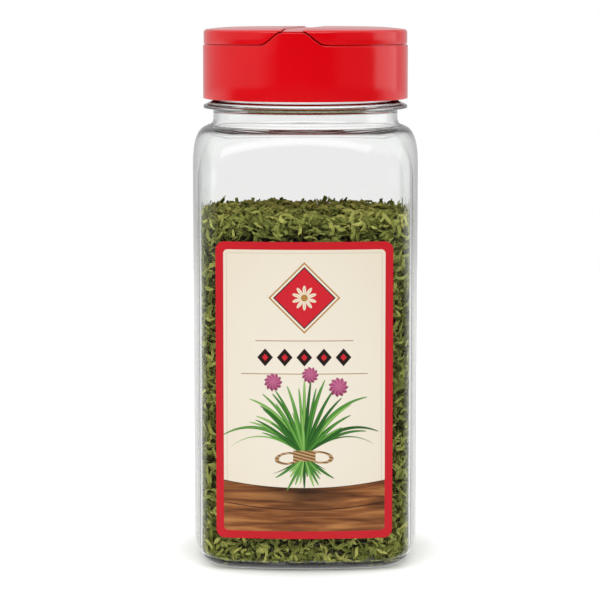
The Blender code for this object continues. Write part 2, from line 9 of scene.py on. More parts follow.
import bpy
import numpy as np
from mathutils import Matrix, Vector


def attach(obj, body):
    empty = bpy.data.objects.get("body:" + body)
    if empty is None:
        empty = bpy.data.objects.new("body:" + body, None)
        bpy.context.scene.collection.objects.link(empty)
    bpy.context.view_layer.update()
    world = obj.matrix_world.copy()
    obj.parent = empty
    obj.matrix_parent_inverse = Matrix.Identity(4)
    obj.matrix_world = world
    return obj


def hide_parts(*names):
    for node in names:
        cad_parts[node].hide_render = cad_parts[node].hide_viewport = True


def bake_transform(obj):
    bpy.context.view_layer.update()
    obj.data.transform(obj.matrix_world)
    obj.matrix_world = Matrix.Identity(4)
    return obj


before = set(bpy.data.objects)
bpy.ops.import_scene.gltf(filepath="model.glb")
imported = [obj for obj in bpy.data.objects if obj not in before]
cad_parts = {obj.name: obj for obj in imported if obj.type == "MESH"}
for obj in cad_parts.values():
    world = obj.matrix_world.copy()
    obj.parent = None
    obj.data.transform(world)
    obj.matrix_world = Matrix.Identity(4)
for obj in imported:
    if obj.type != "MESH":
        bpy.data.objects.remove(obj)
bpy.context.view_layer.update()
scene = bpy.context.scene

# Camera: a long lens just above the cap's height, in front of the label and a little below level.
# The picture is 600 pixels square, and the jar's axis falls 5.4 pixels right of its middle.

PIXEL = 0.0002857
AXIS_OFF_CENTRE = 5.4 * PIXEL
CAMERA_DISTANCE = 0.714
CAMERA_HEIGHT = 0.160
AIM_HEIGHT = 0.0730
LENS = 150.1


def new_object(name, data):
    thing = bpy.data.objects.new(name, data)
    scene.collection.objects.link(thing)
    return thing


def aimed(name, data, place, target):
    """An object at a place, with its -Z axis towards a target."""
    thing = new_object(name, data)
    thing.location = place
    aim = Vector(target) - thing.location
    thing.rotation_euler = aim.to_track_quat("-Z", "Y").to_euler()
    return thing


viewpoint = (-AXIS_OFF_CENTRE, -CAMERA_DISTANCE, CAMERA_HEIGHT)
view_centre = (-AXIS_OFF_CENTRE, 0.0, AIM_HEIGHT)
scene.camera = aimed("camera", bpy.data.cameras.new("camera"), viewpoint, view_centre)
scene.camera.data.lens = LENS

# Studio: a round white table in a white tent, with a softbox and a fill above the camera. Mirrored,
# the tent is dark in front, soft on the left and bright in one strip on the right, and hides the
# table and the fill.

TURN = 2 * math.pi
TABLE_RADIUS = 0.75
# Painted light: the table glows, and its glow is painted dark under the jar as a contact shadow.
TABLE_GLOW = 0.42
PAINTED_SHADOW_INNER = 0.018
PAINTED_SHADOW_OUTER = 0.046
TENT_STOPS = (
    (-180, 0.60),
    (-140, 0.62),
    (-55, 0.55),
    (-30, 0.05),
    (28, 0.03),
    (40, 0.16),
    (80, 0.22),
    (88, 1.45),
    (120, 1.45),
    (126, 0.60),
    (180, 0.60),
)
TENT_TOP = 1.0
TENT_TOP_STARTS = 0.45
TENT_TOP_ENDS = 0.70
TENT_FOOT = 0.05
TENT_FOOT_BEHIND = 0.90
TENT_FOOT_STARTS = -0.13
TENT_FOOT_ENDS = -0.08
BEHIND_STARTS = -0.15
BEHIND_FULL = 0.35
SOFTBOX_SIZE = (1.6, 0.6)
SOFTBOX_PLACE = (-0.15, -0.75, 0.95)
SOFTBOX_POWER = 4.1


class Wire:
    """One output of a shader tree. Arithmetic on it adds Math nodes to the tree."""

    def __init__(self, socket):
        self.socket = socket

    def work(self, operation, *values):
        """The result of a Math node in this wire's tree, fed with the values."""
        node = self.socket.id_data.nodes.new("ShaderNodeMath")
        node.operation = operation
        for slot, value in zip(node.inputs, values):
            plug(slot, value)
        return Wire(node.outputs[0])

    def math(self, operation, *others):
        return self.work(operation, self, *others)

    def __add__(self, other):
        return self.math("ADD", other)

    def __sub__(self, other):
        return self.math("SUBTRACT", other)

    def __rsub__(self, other):
        return self.work("SUBTRACT", other, self)

    def __mul__(self, other):
        return self.math("MULTIPLY", other)

    def __truediv__(self, other):
        return self.math("DIVIDE", other)

    def __abs__(self):
        return self.math("ABSOLUTE")

    __radd__ = __add__
    __rmul__ = __mul__

    def step(self, edge, softness):
        """0 below the edge and 1 above it, with a soft change of that width between."""
        return ((self - edge) / softness + 0.5).math("MINIMUM", 1.0).math("MAXIMUM", 0.0)


def plug(slot, value):
    """Sets a socket to a number or a colour, or links a wire to it."""
    if isinstance(value, Wire):
        slot.id_data.links.new(value.socket, slot)
    elif isinstance(value, tuple) and slot.type == "RGBA":
        slot.default_value = (*value, 1.0)
    else:
        slot.default_value = value


class Tree:
    """A shader tree, and short ways to add the nodes that the finishes share."""

    def __init__(self, owner):
        owner.use_nodes = True
        self.nodes = owner.node_tree.nodes
        self.nodes.clear()

    def add(self, kind, settings=None, sockets=None, output=0):
        node = self.nodes.new("ShaderNode" + kind)
        for name, value in (settings or {}).items():
            setattr(node, name, value)
        for name, value in (sockets or {}).items():
            plug(node.inputs[name], value)
        return Wire(node.outputs[output]) if node.outputs else None

    def ramp(self, value, stops):
        """A colour picked by a value from stops of position and colour."""
        colour = self.add("ValToRGB", None, {0: value})
        elements = colour.socket.node.color_ramp.elements
        while len(elements) < len(stops):
            elements.new(0.5)
        for element, (position, shade) in zip(elements, stops):
            element.position = position
            element.color = (*shade, 1.0)
        return colour

    def noise(self, vector, scale, detail, distortion=0.0):
        sockets = {"Vector": vector, "Scale": scale, "Detail": detail, "Distortion": distortion}
        return self.add("TexNoise", None, sockets)

    def bump(self, height, strength, distance):
        sockets = {"Height": height, "Strength": strength, "Distance": distance}
        return self.add("Bump", None, sockets)

    def ray(self, name):
        """A fact about the ray that is being traced."""
        return Wire(self.add("LightPath").socket.node.outputs[name])

    def blend(self, factor, first, second):
        """A colour between two."""
        return self.add("Mix", {"data_type": "RGBA"}, {0: factor, 6: first, 7: second}, 2)

    def soft_step(self, value, start, end):
        """0 up to the start, 1 from the end on, and an S-shaped rise between."""
        settings = {"interpolation_type": "SMOOTHSTEP"}
        return self.add("MapRange", settings, {0: value, 1: start, 2: end, 3: 0.0, 4: 1.0})

    def axes(self, vector):
        """The three numbers of a vector, as wires."""
        parts = self.add("SeparateXYZ", None, {0: vector}).socket.node.outputs
        return [Wire(part) for part in parts]


def grey(value):
    return (value, value, value)


def hypot(a, b):
    """The length of the vector of two wires."""
    return (a * a + b * b).math("SQRT")


def new_finish(name):
    """A material, its tree, and the place on the object that the tree starts from."""
    finish = bpy.data.materials.new(name)
    tree = Tree(finish)
    return finish, tree, tree.add("TexCoord", output="Object")


def coated(finish, tree, sockets):
    """The material, once its tree ends in a Principled shader with these sockets."""
    surface = tree.add("BsdfPrincipled", None, sockets)
    tree.add("OutputMaterial", None, {"Surface": surface})
    return finish


def make_studio():
    """The tent's light by compass direction, the white ground of the picture, and the table, whose
    glow is painted light with a painted contact shadow under the jar.
    """
    world = bpy.data.worlds.new("tent")
    scene.world = world
    tree = Tree(world)
    direction = tree.add("TexCoord", output="Generated")
    x, y, z = tree.axes(direction)
    compass = x.math("ARCTAN2", y * -1) / TURN + 0.5
    stops = [(degrees / 360 + 0.5, grey(value)) for degrees, value in TENT_STOPS]
    round_about = tree.ramp(compass, stops)
    overhead = tree.soft_step(z, TENT_TOP_STARTS, TENT_TOP_ENDS)
    above = tree.soft_step(z, TENT_FOOT_STARTS, TENT_FOOT_ENDS)
    tent = tree.blend(overhead, round_about, grey(TENT_TOP))
    behind = tree.soft_step(y, BEHIND_STARTS, BEHIND_FULL)
    foot = tree.blend(behind, grey(TENT_FOOT), grey(TENT_FOOT_BEHIND))
    tent = tree.blend(above, foot, tent)
    direct = tree.ray("Glossy Depth").math("LESS_THAN", 0.5)
    through = tree.ray("Is Transmission Ray") * direct
    seen = tree.ray("Is Camera Ray").math("MAXIMUM", through)
    shown = tree.blend(seen, tent, grey(1.0))
    light = tree.add("Background", None, {"Color": shown, "Strength": 1.0})
    tree.add("OutputWorld", None, {"Surface": light})

    softbox = bpy.data.lights.new("softbox", "AREA")
    softbox.shape = "RECTANGLE"
    softbox.size, softbox.size_y = SOFTBOX_SIZE
    softbox.energy = SOFTBOX_POWER
    for name, mirrored in (("softbox", True), ("fill", False)):
        holder = aimed(name, softbox, SOFTBOX_PLACE, (0.0, 0.0, AIM_HEIGHT))
        holder.visible_glossy = mirrored

    turn = np.linspace(0.0, TURN, 97)[:-1]
    rim = TABLE_RADIUS * np.stack([np.cos(turn), np.sin(turn), 0 * turn], axis=1)
    mesh = bpy.data.meshes.new("table")
    mesh.from_pydata(rim.tolist(), [], [list(range(len(rim)))])
    table = new_object("table", mesh)
    finish, tree, place = new_finish("table_white")
    colour = tree.blend(tree.noise(place, 9.0, 3.0), grey(0.90), grey(0.92))
    x, y, z = tree.axes(place)
    # Painted shadow: the glow's colour fades to black towards the jar's foot, from the inner radius
    # out.
    away = tree.soft_step(hypot(x, y), PAINTED_SHADOW_INNER, PAINTED_SHADOW_OUTER)
    glow_with_painted_shadow = tree.blend(away, grey(0.0), colour)
    glow = {"Emission Color": glow_with_painted_shadow, "Emission Strength": TABLE_GLOW}
    white = tree.add("BsdfPrincipled", None, {"Base Color": colour, "Roughness": 0.6, **glow})
    mirrored = tree.ray("Glossy Depth").math("GREATER_THAN", 0.5)
    nothing = tree.add("BsdfTransparent")
    surface = tree.add("MixShader", None, {0: mirrored, 1: white, 2: nothing})
    tree.add("OutputMaterial", None, {"Surface": surface})
    mesh.materials.append(finish)


make_studio()
scene.view_settings.view_transform = "Standard"
scene.cycles.max_bounces = 16
scene.cycles.transmission_bounces = 14
scene.cycles.transparent_max_bounces = 24

# Jar: one stretch-blown body of clear PET, with bowed sides, a pushed-up base, a shoulder that
# turns the square into the round neck, a support ring, and the threaded finish under the cap.

BODY_HALF = 0.032
SIDE_BOW_RADIUS = 0.120
CORNER_RADIUS = 0.0075
WALL = 0.0006
SIDE_STEPS = 40
CORNER_STEPS = 14
HEEL_INSET = 0.0072
HEEL_HEIGHT = 0.0070
HEEL_BLEND = 0.30
LAND_SCALE = 0.94
PUSH_UP = 0.0022
GATE_RADIUS = 0.0012
GATE_HEIGHT = 0.0006
FLOOR_THICKNESS = 0.0018
INNER_HEEL_INSET = 0.0040
INNER_HEEL_HEIGHT = 0.0044
FLOOR_RISE = 0.0020
STRAIGHT_TOP = 0.105
INNER_STRAIGHT_FOOT = 0.0085
SHOULDER_BOTTOM = 0.1115
SHOULDER_TOP = 0.1234
SHOULDER_CORNER_DROP = 0.004
SHOULDER_POWER = 2.8
SHOULDER_CORNER_POWER = 2.3
NECK_RADIUS = 0.0262
NECK_WALL = 0.0012
NECK_FILLET = 0.0018
RING_BOTTOM = 0.1280
RING_RADIUS = 0.0290
RING_TIP = 0.1288
RING_TIP_HALF = 0.0003
RING_TIP_ROUND = 0.0003
GROOVE_DEPTH = 0.0024
GROOVE_HALF = 0.0011
RING_TOP = 0.1308
FINISH_RADIUS = 0.0253
BORE_RADIUS = 0.0238
LIP_TOP = 0.1438
LIP_ROUND = 0.0003
THREAD_PITCH = 0.0050
THREAD_TURNS = 1.1
THREAD_CREST = 0.02635
THREAD_START = 0.1347
THREAD_HALF_ROOT = 0.0013
THREAD_HALF_CREST = 0.0005
THREAD_RUN_OUT = 12
THREAD_ROWS = 44
SIDE_ARC_BACK = SIDE_BOW_RADIUS - BODY_HALF
CORNER_REACH = SIDE_BOW_RADIUS - CORNER_RADIUS
CORNER_CENTRE = 0.5 * (math.sqrt(2 * CORNER_REACH**2 - SIDE_ARC_BACK**2) - SIDE_ARC_BACK)
SIDE_ANGLE = math.asin(CORNER_CENTRE / CORNER_REACH)
QUARTER = math.pi / 2


def ring_angles():
    """The directions that a ring's points face: even along each bowed side and round each corner."""
    side = np.linspace(-SIDE_ANGLE, SIDE_ANGLE, SIDE_STEPS + 1)[:-1]
    corner = np.linspace(SIDE_ANGLE, QUARTER - SIDE_ANGLE, CORNER_STEPS + 1)[:-1]
    quarter = np.concatenate([side, corner])
    return np.concatenate([quarter + turn * QUARTER for turn in range(4)])


RING_ANGLES = ring_angles()
RING_FACING = np.stack([np.cos(RING_ANGLES), np.sin(RING_ANGLES)], axis=1)


def body_outline(inset):
    """The body's outline, moved in by inset: each point lies on the arc of its side or its corner,
    at the place where that arc faces the point's own direction."""
    turns = np.round(RING_ANGLES / QUARTER)
    on_side = np.abs(RING_ANGLES - turns * QUARTER) <= SIDE_ANGLE * 1.0001
    side_facing = np.stack([np.cos(turns * QUARTER), np.sin(turns * QUARTER)], axis=1)
    side = -SIDE_ARC_BACK * side_facing + (SIDE_BOW_RADIUS - inset) * RING_FACING
    corner = CORNER_CENTRE * np.sign(RING_FACING) + (CORNER_RADIUS - inset) * RING_FACING
    return np.where(on_side[:, None], side, corner)


def stacked(outlines, heights):
    """Rings from outlines (rows, n, 2) or one outline, and a height for each row or point."""
    heights = np.asarray(heights, float)
    if heights.ndim == 1:
        heights = heights[:, None]
    rows = np.broadcast_to(outlines, (len(heights), len(RING_ANGLES), 2))
    heights = np.broadcast_to(heights, rows.shape[:2])
    return np.concatenate([rows, heights[..., None]], axis=2)


BODY_REACH = np.linalg.norm(body_outline(0.0), axis=1)
RING_OUT = body_outline(0.0) / BODY_REACH[:, None]


def turned(radii, heights):
    """Round rings from a profile of radii and heights, each point straight in from the body's."""
    return stacked(np.asarray(radii)[:, None, None] * RING_OUT, heights)


def heel(inset, height, wall, floor, steps):
    """The rounded heel, from the standing ring up to the wall. In section it is a quarter ellipse,
    and its foot is the body's outline blended with a circle."""
    angle = np.linspace(0.0, QUARTER, steps)[:, None, None]
    share = HEEL_BLEND * (1 - np.sin(angle))
    circle = (BODY_HALF - wall - inset / HEEL_BLEND) * RING_FACING
    outlines = (1 - share) * body_outline(wall) + share * circle
    return stacked(outlines, floor + height * (1 - np.cos(angle[:, 0, 0])))


def shoulder(steps):
    """The shoulder's outer side: in section a quarter of a rounded arch (a superellipse), lower and
    rounder towards the corners, that stops where the fillet up to the neck begins."""
    cornering = (BODY_REACH - BODY_REACH.min()) / (BODY_REACH.max() - BODY_REACH.min())
    start = SHOULDER_BOTTOM - SHOULDER_CORNER_DROP * cornering**2
    power = SHOULDER_POWER + (SHOULDER_CORNER_POWER - SHOULDER_POWER) * cornering
    left = NECK_FILLET / (BODY_REACH - NECK_RADIUS)
    angle = np.linspace(0.0, 1.0, steps)[:, None] * np.arccos(left ** (power / 2))
    inward = 1 - np.cos(angle) ** (2 / power)
    heights = start + (SHOULDER_TOP - start) * np.sin(angle) ** (2 / power)
    reach = BODY_REACH + (NECK_RADIUS - BODY_REACH) * inward
    return stacked(reach[..., None] * RING_OUT, heights)


def inside_of(rows, walls):
    """The same rows moved in along the surface's own normals, by a wall thickness for each row."""
    along = np.gradient(rows, axis=0)
    around = np.roll(rows, -1, axis=1) - np.roll(rows, 1, axis=1)
    normals = np.cross(around, along)
    normals /= np.linalg.norm(normals, axis=2, keepdims=True)
    return rows - np.asarray(walls)[:, None, None] * normals


def arc(centre, radius, start, end, steps):
    """Radii and heights along an arc, from one angle in degrees to another."""
    angle = np.radians(np.linspace(start, end, steps))
    return centre[0] + radius * np.cos(angle), centre[1] + radius * np.sin(angle)


def thread_ridge(turned_by, heights, start):
    """How far a thread's ridge stands out, from 0 to 1, at shares of a turn and at heights. The
    ridge climbs a helix from its start, is a trapezoid in section and sinks away at both ends."""
    ridge = 0 * (turned_by + heights)
    for turn in (0, 1):
        share = (turned_by + turn) / THREAD_TURNS
        lift = np.clip(THREAD_RUN_OUT * np.minimum(share, 1 - share) + 0.05, 0.0, 1.0)
        lift = np.where(share <= 1, lift, 0.0)
        off = np.abs(heights - start - share * THREAD_TURNS * THREAD_PITCH)
        flank = (THREAD_HALF_ROOT - off) / (THREAD_HALF_ROOT - THREAD_HALF_CREST)
        ridge = np.maximum(ridge, np.clip(flank, 0.0, 1.0) * lift)
    return ridge


def threaded_wall():
    """The finish's outer wall: a cylinder whose radius swells where the thread passes."""
    heights = np.linspace(RING_TOP + 0.0006, LIP_TOP - 0.0008, THREAD_ROWS)[:, None]
    turned_by = np.mod(np.arctan2(RING_OUT[:, 1], RING_OUT[:, 0]), TURN) / TURN
    ridge = thread_ridge(turned_by, heights, THREAD_START)
    radii = FINISH_RADIUS + (THREAD_CREST - FINISH_RADIUS) * ridge
    return stacked(radii[..., None] * RING_OUT, heights[:, 0])


def grid_mesh(name, rows, first_pole=None, last_pole=None, closed_along=False):
    """A mesh over a grid of points (rows, columns, 3). The columns close into rings, and the rows
    end in a pole, close on themselves, or stay open."""
    rows = np.asarray(rows, float)
    count, round_about = rows.shape[:2]
    index = np.arange(count * round_about).reshape(count, round_about)
    if closed_along:
        index = np.concatenate([index, index[:1]])
    index = np.concatenate([index, index[:, :1]], axis=1)
    quads = np.stack([index[:-1, :-1], index[:-1, 1:], index[1:, 1:], index[1:, :-1]], axis=-1)
    faces = quads.reshape(-1, 4).tolist()
    points = rows.reshape(-1, 3)
    for pole, ring, order in ((first_pole, index[0], -1), (last_pole, index[count - 1], 1)):
        if pole is not None:
            tip = len(points)
            points = np.vstack([points, pole])
            fans = np.stack([ring[:-1], ring[1:], np.full(len(ring) - 1, tip)], axis=1)
            faces += fans[:, ::order].tolist()
    mesh = bpy.data.meshes.new(name)
    mesh.from_pydata(points.tolist(), [], faces)
    return mesh


def add_piece(name, mesh, finish, sharp_over=None):
    """The mesh as an object, shaded smooth, but sharp where faces meet at more than an angle."""
    mesh.shade_smooth()
    if sharp_over is not None:
        mesh.set_sharp_from_angle(angle=math.radians(sharp_over))
    mesh.materials.append(finish)
    return new_object(name, mesh)


def jar_mesh():
    """The outer surface from under the base up to the lip, then the inner one down to the floor.
    The inner one keeps the wall's thickness over the shoulder and swells behind the ring."""
    foot = heel(HEEL_INSET, HEEL_HEIGHT, 0.0, 0.0, 2)[0, :, :2]
    scales = np.linspace(0.06, LAND_SCALE, 12)
    gate = GATE_HEIGHT * np.clip(2 - scales * np.abs(foot[:, :1]).max() / GATE_RADIUS, 0.0, 1.0)
    underside = PUSH_UP * (1 - (scales / LAND_SCALE) ** 2) - gate
    rows = [stacked(scales[:, None, None] * foot, underside)]
    rows.append(heel(HEEL_INSET, HEEL_HEIGHT, 0.0, 0.0, 22))
    rows.append(stacked(body_outline(0.0), np.linspace(HEEL_HEIGHT, STRAIGHT_TOP, 8)[1:]))
    corner = (NECK_RADIUS + NECK_FILLET, SHOULDER_TOP + NECK_FILLET)
    fillet = turned(*arc(corner, NECK_FILLET, 268, 180, 9))
    neck = turned([NECK_RADIUS] * 3, np.linspace(corner[1], RING_BOTTOM - 0.0002, 4)[1:])
    upper = np.concatenate([shoulder(44), fillet, neck])
    rows.append(upper)
    reach = RING_RADIUS - RING_TIP_ROUND
    profile = [([NECK_RADIUS + 0.0003], [RING_BOTTOM])]
    profile.append(arc((reach, RING_TIP - RING_TIP_HALF), RING_TIP_ROUND, -84, 0, 6))
    profile.append(arc((reach, RING_TIP + 0.0001), RING_TIP_ROUND, 0, 62, 5))
    profile.append(([FINISH_RADIUS + 0.0004, FINISH_RADIUS], [RING_TOP - 0.0001, RING_TOP + 0.0003]))
    rows += [turned(*part) for part in profile]
    rows.append(threaded_wall())
    profile = [arc((FINISH_RADIUS - LIP_ROUND, LIP_TOP - LIP_ROUND), LIP_ROUND, 0, 90, 4)]
    profile.append(arc((BORE_RADIUS + LIP_ROUND, LIP_TOP - LIP_ROUND), LIP_ROUND, 90, 180, 4))
    rows += [turned(*part) for part in profile]
    levels = np.linspace(LIP_TOP - 0.0012, RING_BOTTOM, 44)
    swell = GROOVE_DEPTH * np.exp(-(((levels - RING_TIP) / GROOVE_HALF) ** 2))
    share = np.clip((levels - RING_TIP) / (LIP_TOP - RING_TIP), 0.0, 1.0)
    inner_neck = NECK_RADIUS - NECK_WALL
    rows.append(turned(inner_neck + (BORE_RADIUS - inner_neck) * np.sqrt(share) + swell, levels))
    share = np.linspace(0.0, 1.0, len(upper)) ** 2
    rows.append(inside_of(upper, WALL + (NECK_WALL - WALL) * share)[::-1])
    levels = np.linspace(STRAIGHT_TOP, INNER_STRAIGHT_FOOT, 8)
    rows.append(stacked(body_outline(WALL), levels))
    hollow = heel(INNER_HEEL_INSET, INNER_HEEL_HEIGHT, WALL, FLOOR_THICKNESS, 20)
    rows.append(hollow[::-1])
    scales = np.linspace(0.94, 0.1, 9)
    floor = FLOOR_THICKNESS + FLOOR_RISE * (1 - scales**2)
    rows.append(stacked(scales[:, None, None] * hollow[0, :, :2], floor))
    under_pole = (0.0, 0.0, PUSH_UP - GATE_HEIGHT)
    floor_pole = (0.0, 0.0, FLOOR_THICKNESS + FLOOR_RISE)
    return grid_mesh("jar_shell", np.concatenate(rows), under_pole, floor_pole)


def clear_pet():
    """Clear PET: glossy glass-like plastic with a faint waviness left by the blowing, greyer green
    where it is seen edge on. It lets lamps shine straight through to what it holds."""
    finish, tree, place = new_finish("clear_pet")
    bump = tree.bump(tree.noise(place, 70.0, 1.5), 0.02, 0.0004)
    edge_on = tree.add("LayerWeight", None, {"Blend": 0.35}, output="Facing")
    depth = tree.blend(edge_on, (0.972, 0.975, 0.973), (0.885, 0.908, 0.892))
    sockets = {"Base Color": depth, "Roughness": 0.015, "IOR": 1.46, "Transmission Weight": 1.0}
    shell = tree.add("BsdfPrincipled", None, {**sockets, "Normal": bump})
    lamp_side = tree.ray("Is Shadow Ray").math("MAXIMUM", tree.ray("Is Diffuse Ray"))
    open_way = tree.add("BsdfTransparent", None, {"Color": (0.90, 0.91, 0.905)})
    surface = tree.add("MixShader", None, {0: lamp_side, 1: shell, 2: open_way})
    tree.add("OutputMaterial", None, {"Surface": surface})
    return finish


jar = add_piece("jar_shell", jar_mesh(), clear_pet(), sharp_over=60)
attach(jar, "jar")
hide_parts("jar")

# Chives: dried and chopped, loose in the jar up to two thirds. Thousands of curled slivers, pressed
# flat where they lie on the wall and heaped on top, round a core of more of the same whose dark
# tint is painted shade for the depth of the heap.

FILL_TOP = 0.0995
FILL_FALL = 0.0016
CORE_INSET = 0.0052
WALL_GAP = 0.00025
FLAKE_FACETS = 4
SIDE_FLAKES = 18500
TOP_FLAKES = 4600
BASE_FLAKES = 2000
FLAKE_DEPTH = 0.0036
FLAKE_LENGTH = (0.0013, 0.0041)
FLAKE_WIDTH = (0.0006, 0.0013)
FLAKE_THICKNESS = 0.00018
# Painted light: paler tint for the heap's top and near the floor, and how fast it fades upwards.
HEAP_PAINTED_LIGHT = 0.15
FLOOR_PAINTED_LIGHT = 0.31
FLOOR_PAINTED_LIGHT_DEPTH = 0.009
TOP_DEPTH = 0.0045
TOP_TILT = 0.42
TOP_SCALE = 1.18
BASE_DEPTH = 0.003
BASE_TILT = 0.12
BASE_LIFT = 0.0004
CORE_DROP = 0.0045
CORE_ROUGHNESS = 0.0006
CORE_PAINTED_SHADE = 0.12
FLAKE_SEED = 5

rng = np.random.default_rng(FLAKE_SEED)
inner_outline = body_outline(WALL)
inner_polar = np.arctan2(inner_outline[:, 1], inner_outline[:, 0])
inner_order = np.argsort(inner_polar)
inner_reach = np.hypot(inner_outline[:, 0], inner_outline[:, 1])[inner_order]
inner_polar = inner_polar[inner_order]


def room_at(points):
    """How far from the axis the jar's inside reaches, in each point's direction and at its height:
    the wall's outline, blended with a circle down in the heel as the heel itself is."""
    direction = np.arctan2(points[..., 1], points[..., 0])
    wall = np.interp(direction, inner_polar, inner_reach, period=TURN)
    rise = np.clip((points[..., 2] - FLOOR_THICKNESS) / INNER_HEEL_HEIGHT, 0.0, 1.0)
    share = HEEL_BLEND * (1 - np.sqrt(1 - (1 - rise) ** 2))
    circle = BODY_HALF - WALL - INNER_HEEL_INSET / HEEL_BLEND
    return (1 - share) * wall + share * circle


def floor_at(x, y):
    """The height of the jar's inner floor, which rises towards the middle."""
    across = np.hypot(x, y) / (BODY_HALF - WALL - INNER_HEEL_INSET)
    return FLOOR_THICKNESS + FLOOR_RISE * np.clip(1 - across**2, 0.0, 1.0)


def heap_at(x, y):
    """The height of the heap's top: slightly crowned, with a few low waves."""
    waves = np.sin(x * 210 + 0.7) * np.cos(y * 170 - 0.4) + 0.6 * np.sin((x + y) * 330 + 2.0)
    return FILL_TOP - FILL_FALL * (x**2 + y**2) / BODY_HALF**2 + 0.0007 * waves


def frames(facing, spin, tilt):
    """Three unit directions for each flake: along it, across it and up from it. The flake lies in
    the plane that faces a direction, is spun in that plane, and is then tilted about its width."""
    helper = np.where(np.abs(facing[:, 2:]) > 0.9, [[1.0, 0.0, 0.0]], [[0.0, 0.0, 1.0]])
    first = np.cross(helper, facing)
    first /= np.linalg.norm(first, axis=1, keepdims=True)
    second = np.cross(facing, first)
    along = first * np.cos(spin)[:, None] + second * np.sin(spin)[:, None]
    across = np.cross(facing, along)
    tilted = along * np.cos(tilt)[:, None] + facing * np.sin(tilt)[:, None]
    return tilted, across, np.cross(tilted, across)


def flake_points(centres, facing, tilt_spread, scale):
    """Every flake as four cross-sections of four points: left edge, ridge, right edge, underside.
    The section narrows towards slanting ends, and the flake bows, curls and sways along its
    length. Points that would pass the jar's inside are pressed back against it."""
    count = len(centres)

    def draw(low, high):
        return rng.uniform(low, high, count)

    length = scale * draw(*FLAKE_LENGTH)
    width = scale * draw(*FLAKE_WIDTH) * (0.75 + 0.25 * length / FLAKE_LENGTH[1])
    curl = draw(0.10, 0.70)
    bow = draw(-0.15, 0.32)
    sway = draw(-0.24, 0.24)
    slant = draw(-0.6, 0.6)
    end_share = draw(0.45, 1.0)
    tilt = np.clip(rng.normal(0.0, tilt_spread, count), -1.1, 1.1)
    along, across, up = frames(facing, draw(0.0, TURN), tilt)
    station = np.linspace(-1.0, 1.0, FLAKE_FACETS)[None, :, None]
    side = np.array([-1.0, 0.0, 1.0, 0.0])[None, None, :]
    under = np.array([0.0, 0.0, 0.0, 1.0])[None, None, :]

    def spread(values):
        return values[:, None, None]

    half = spread(0.5 * width) * (1 - (1 - spread(end_share)) * station**4)
    ridge = spread(curl * width) * (1 - side**2)
    a = spread(0.5 * length) * station + spread(slant * width) * side * station**2
    b = side * half + spread(sway * length) * (station**2 - 0.4)
    c = ridge + spread(bow * length) * (1 - station**2) - FLAKE_THICKNESS * under
    axes = [axis[:, None, None, :] for axis in (along, across, up)]
    local = sum(axis * value[..., None] for axis, value in zip(axes, np.broadcast_arrays(a, b, c)))
    points = centres[:, None, None, :] + local
    points[..., 2] = np.maximum(points[..., 2], floor_at(points[..., 0], points[..., 1]) + WALL_GAP)
    reach = np.hypot(points[..., 0], points[..., 1])
    limit = room_at(points) - WALL_GAP
    over = np.maximum(reach - limit, 0.0)
    pressed = np.where(over > 0, limit - 0.12 * over, reach)
    points[..., :2] *= (pressed / np.maximum(reach, 1e-6))[..., None]
    return points


def mark(mesh, name, values):
    """Writes a number at every point of the mesh, for its finish to read."""
    numbers = mesh.attributes.new(name, "FLOAT", "POINT")
    numbers.data.foreach_set("value", np.asarray(values, np.float32))


def flake_mesh(name, points):
    """Closed flakes from their cross-sections, each with its own tint and a mark for its edges. The
    flakes on the heap's top and those near the floor are made paler: painted light that lifts the
    shade there."""
    count = len(points)
    size = FLAKE_FACETS * 4
    ring = np.arange(size).reshape(FLAKE_FACETS, 4)
    after = np.roll(ring, -1, axis=1)
    sides = np.stack([ring[:-1], ring[1:], after[1:], after[:-1]], axis=-1).reshape(-1, 4)
    caps = np.stack([ring[0], ring[-1][::-1]])
    one = np.concatenate([sides, caps])
    faces = (one[None] + size * np.arange(count)[:, None, None]).reshape(-1, 4)
    mesh = bpy.data.meshes.new(name)
    mesh.from_pydata(points.reshape(-1, 3).tolist(), [], faces.tolist())
    height = points[..., 2].mean(axis=(1, 2))
    # Painted light: flakes on the heap's top and near the floor get a paler tint, lifting their
    # shade.
    painted_light = FLOOR_PAINTED_LIGHT * np.exp(-height / FLOOR_PAINTED_LIGHT_DEPTH) + HEAP_PAINTED_LIGHT * (height > FILL_TOP - 0.003)
    mark(mesh, "tint", np.repeat(rng.beta(2.2, 2.0, count) + painted_light, size))
    # Painted highlight: the rim mark is 1 along each flake's edges, where its finish paints them
    # paler.
    mark(mesh, "rim", np.tile([1.0, 0.0, 1.0, 0.2], count * FLAKE_FACETS))
    return mesh


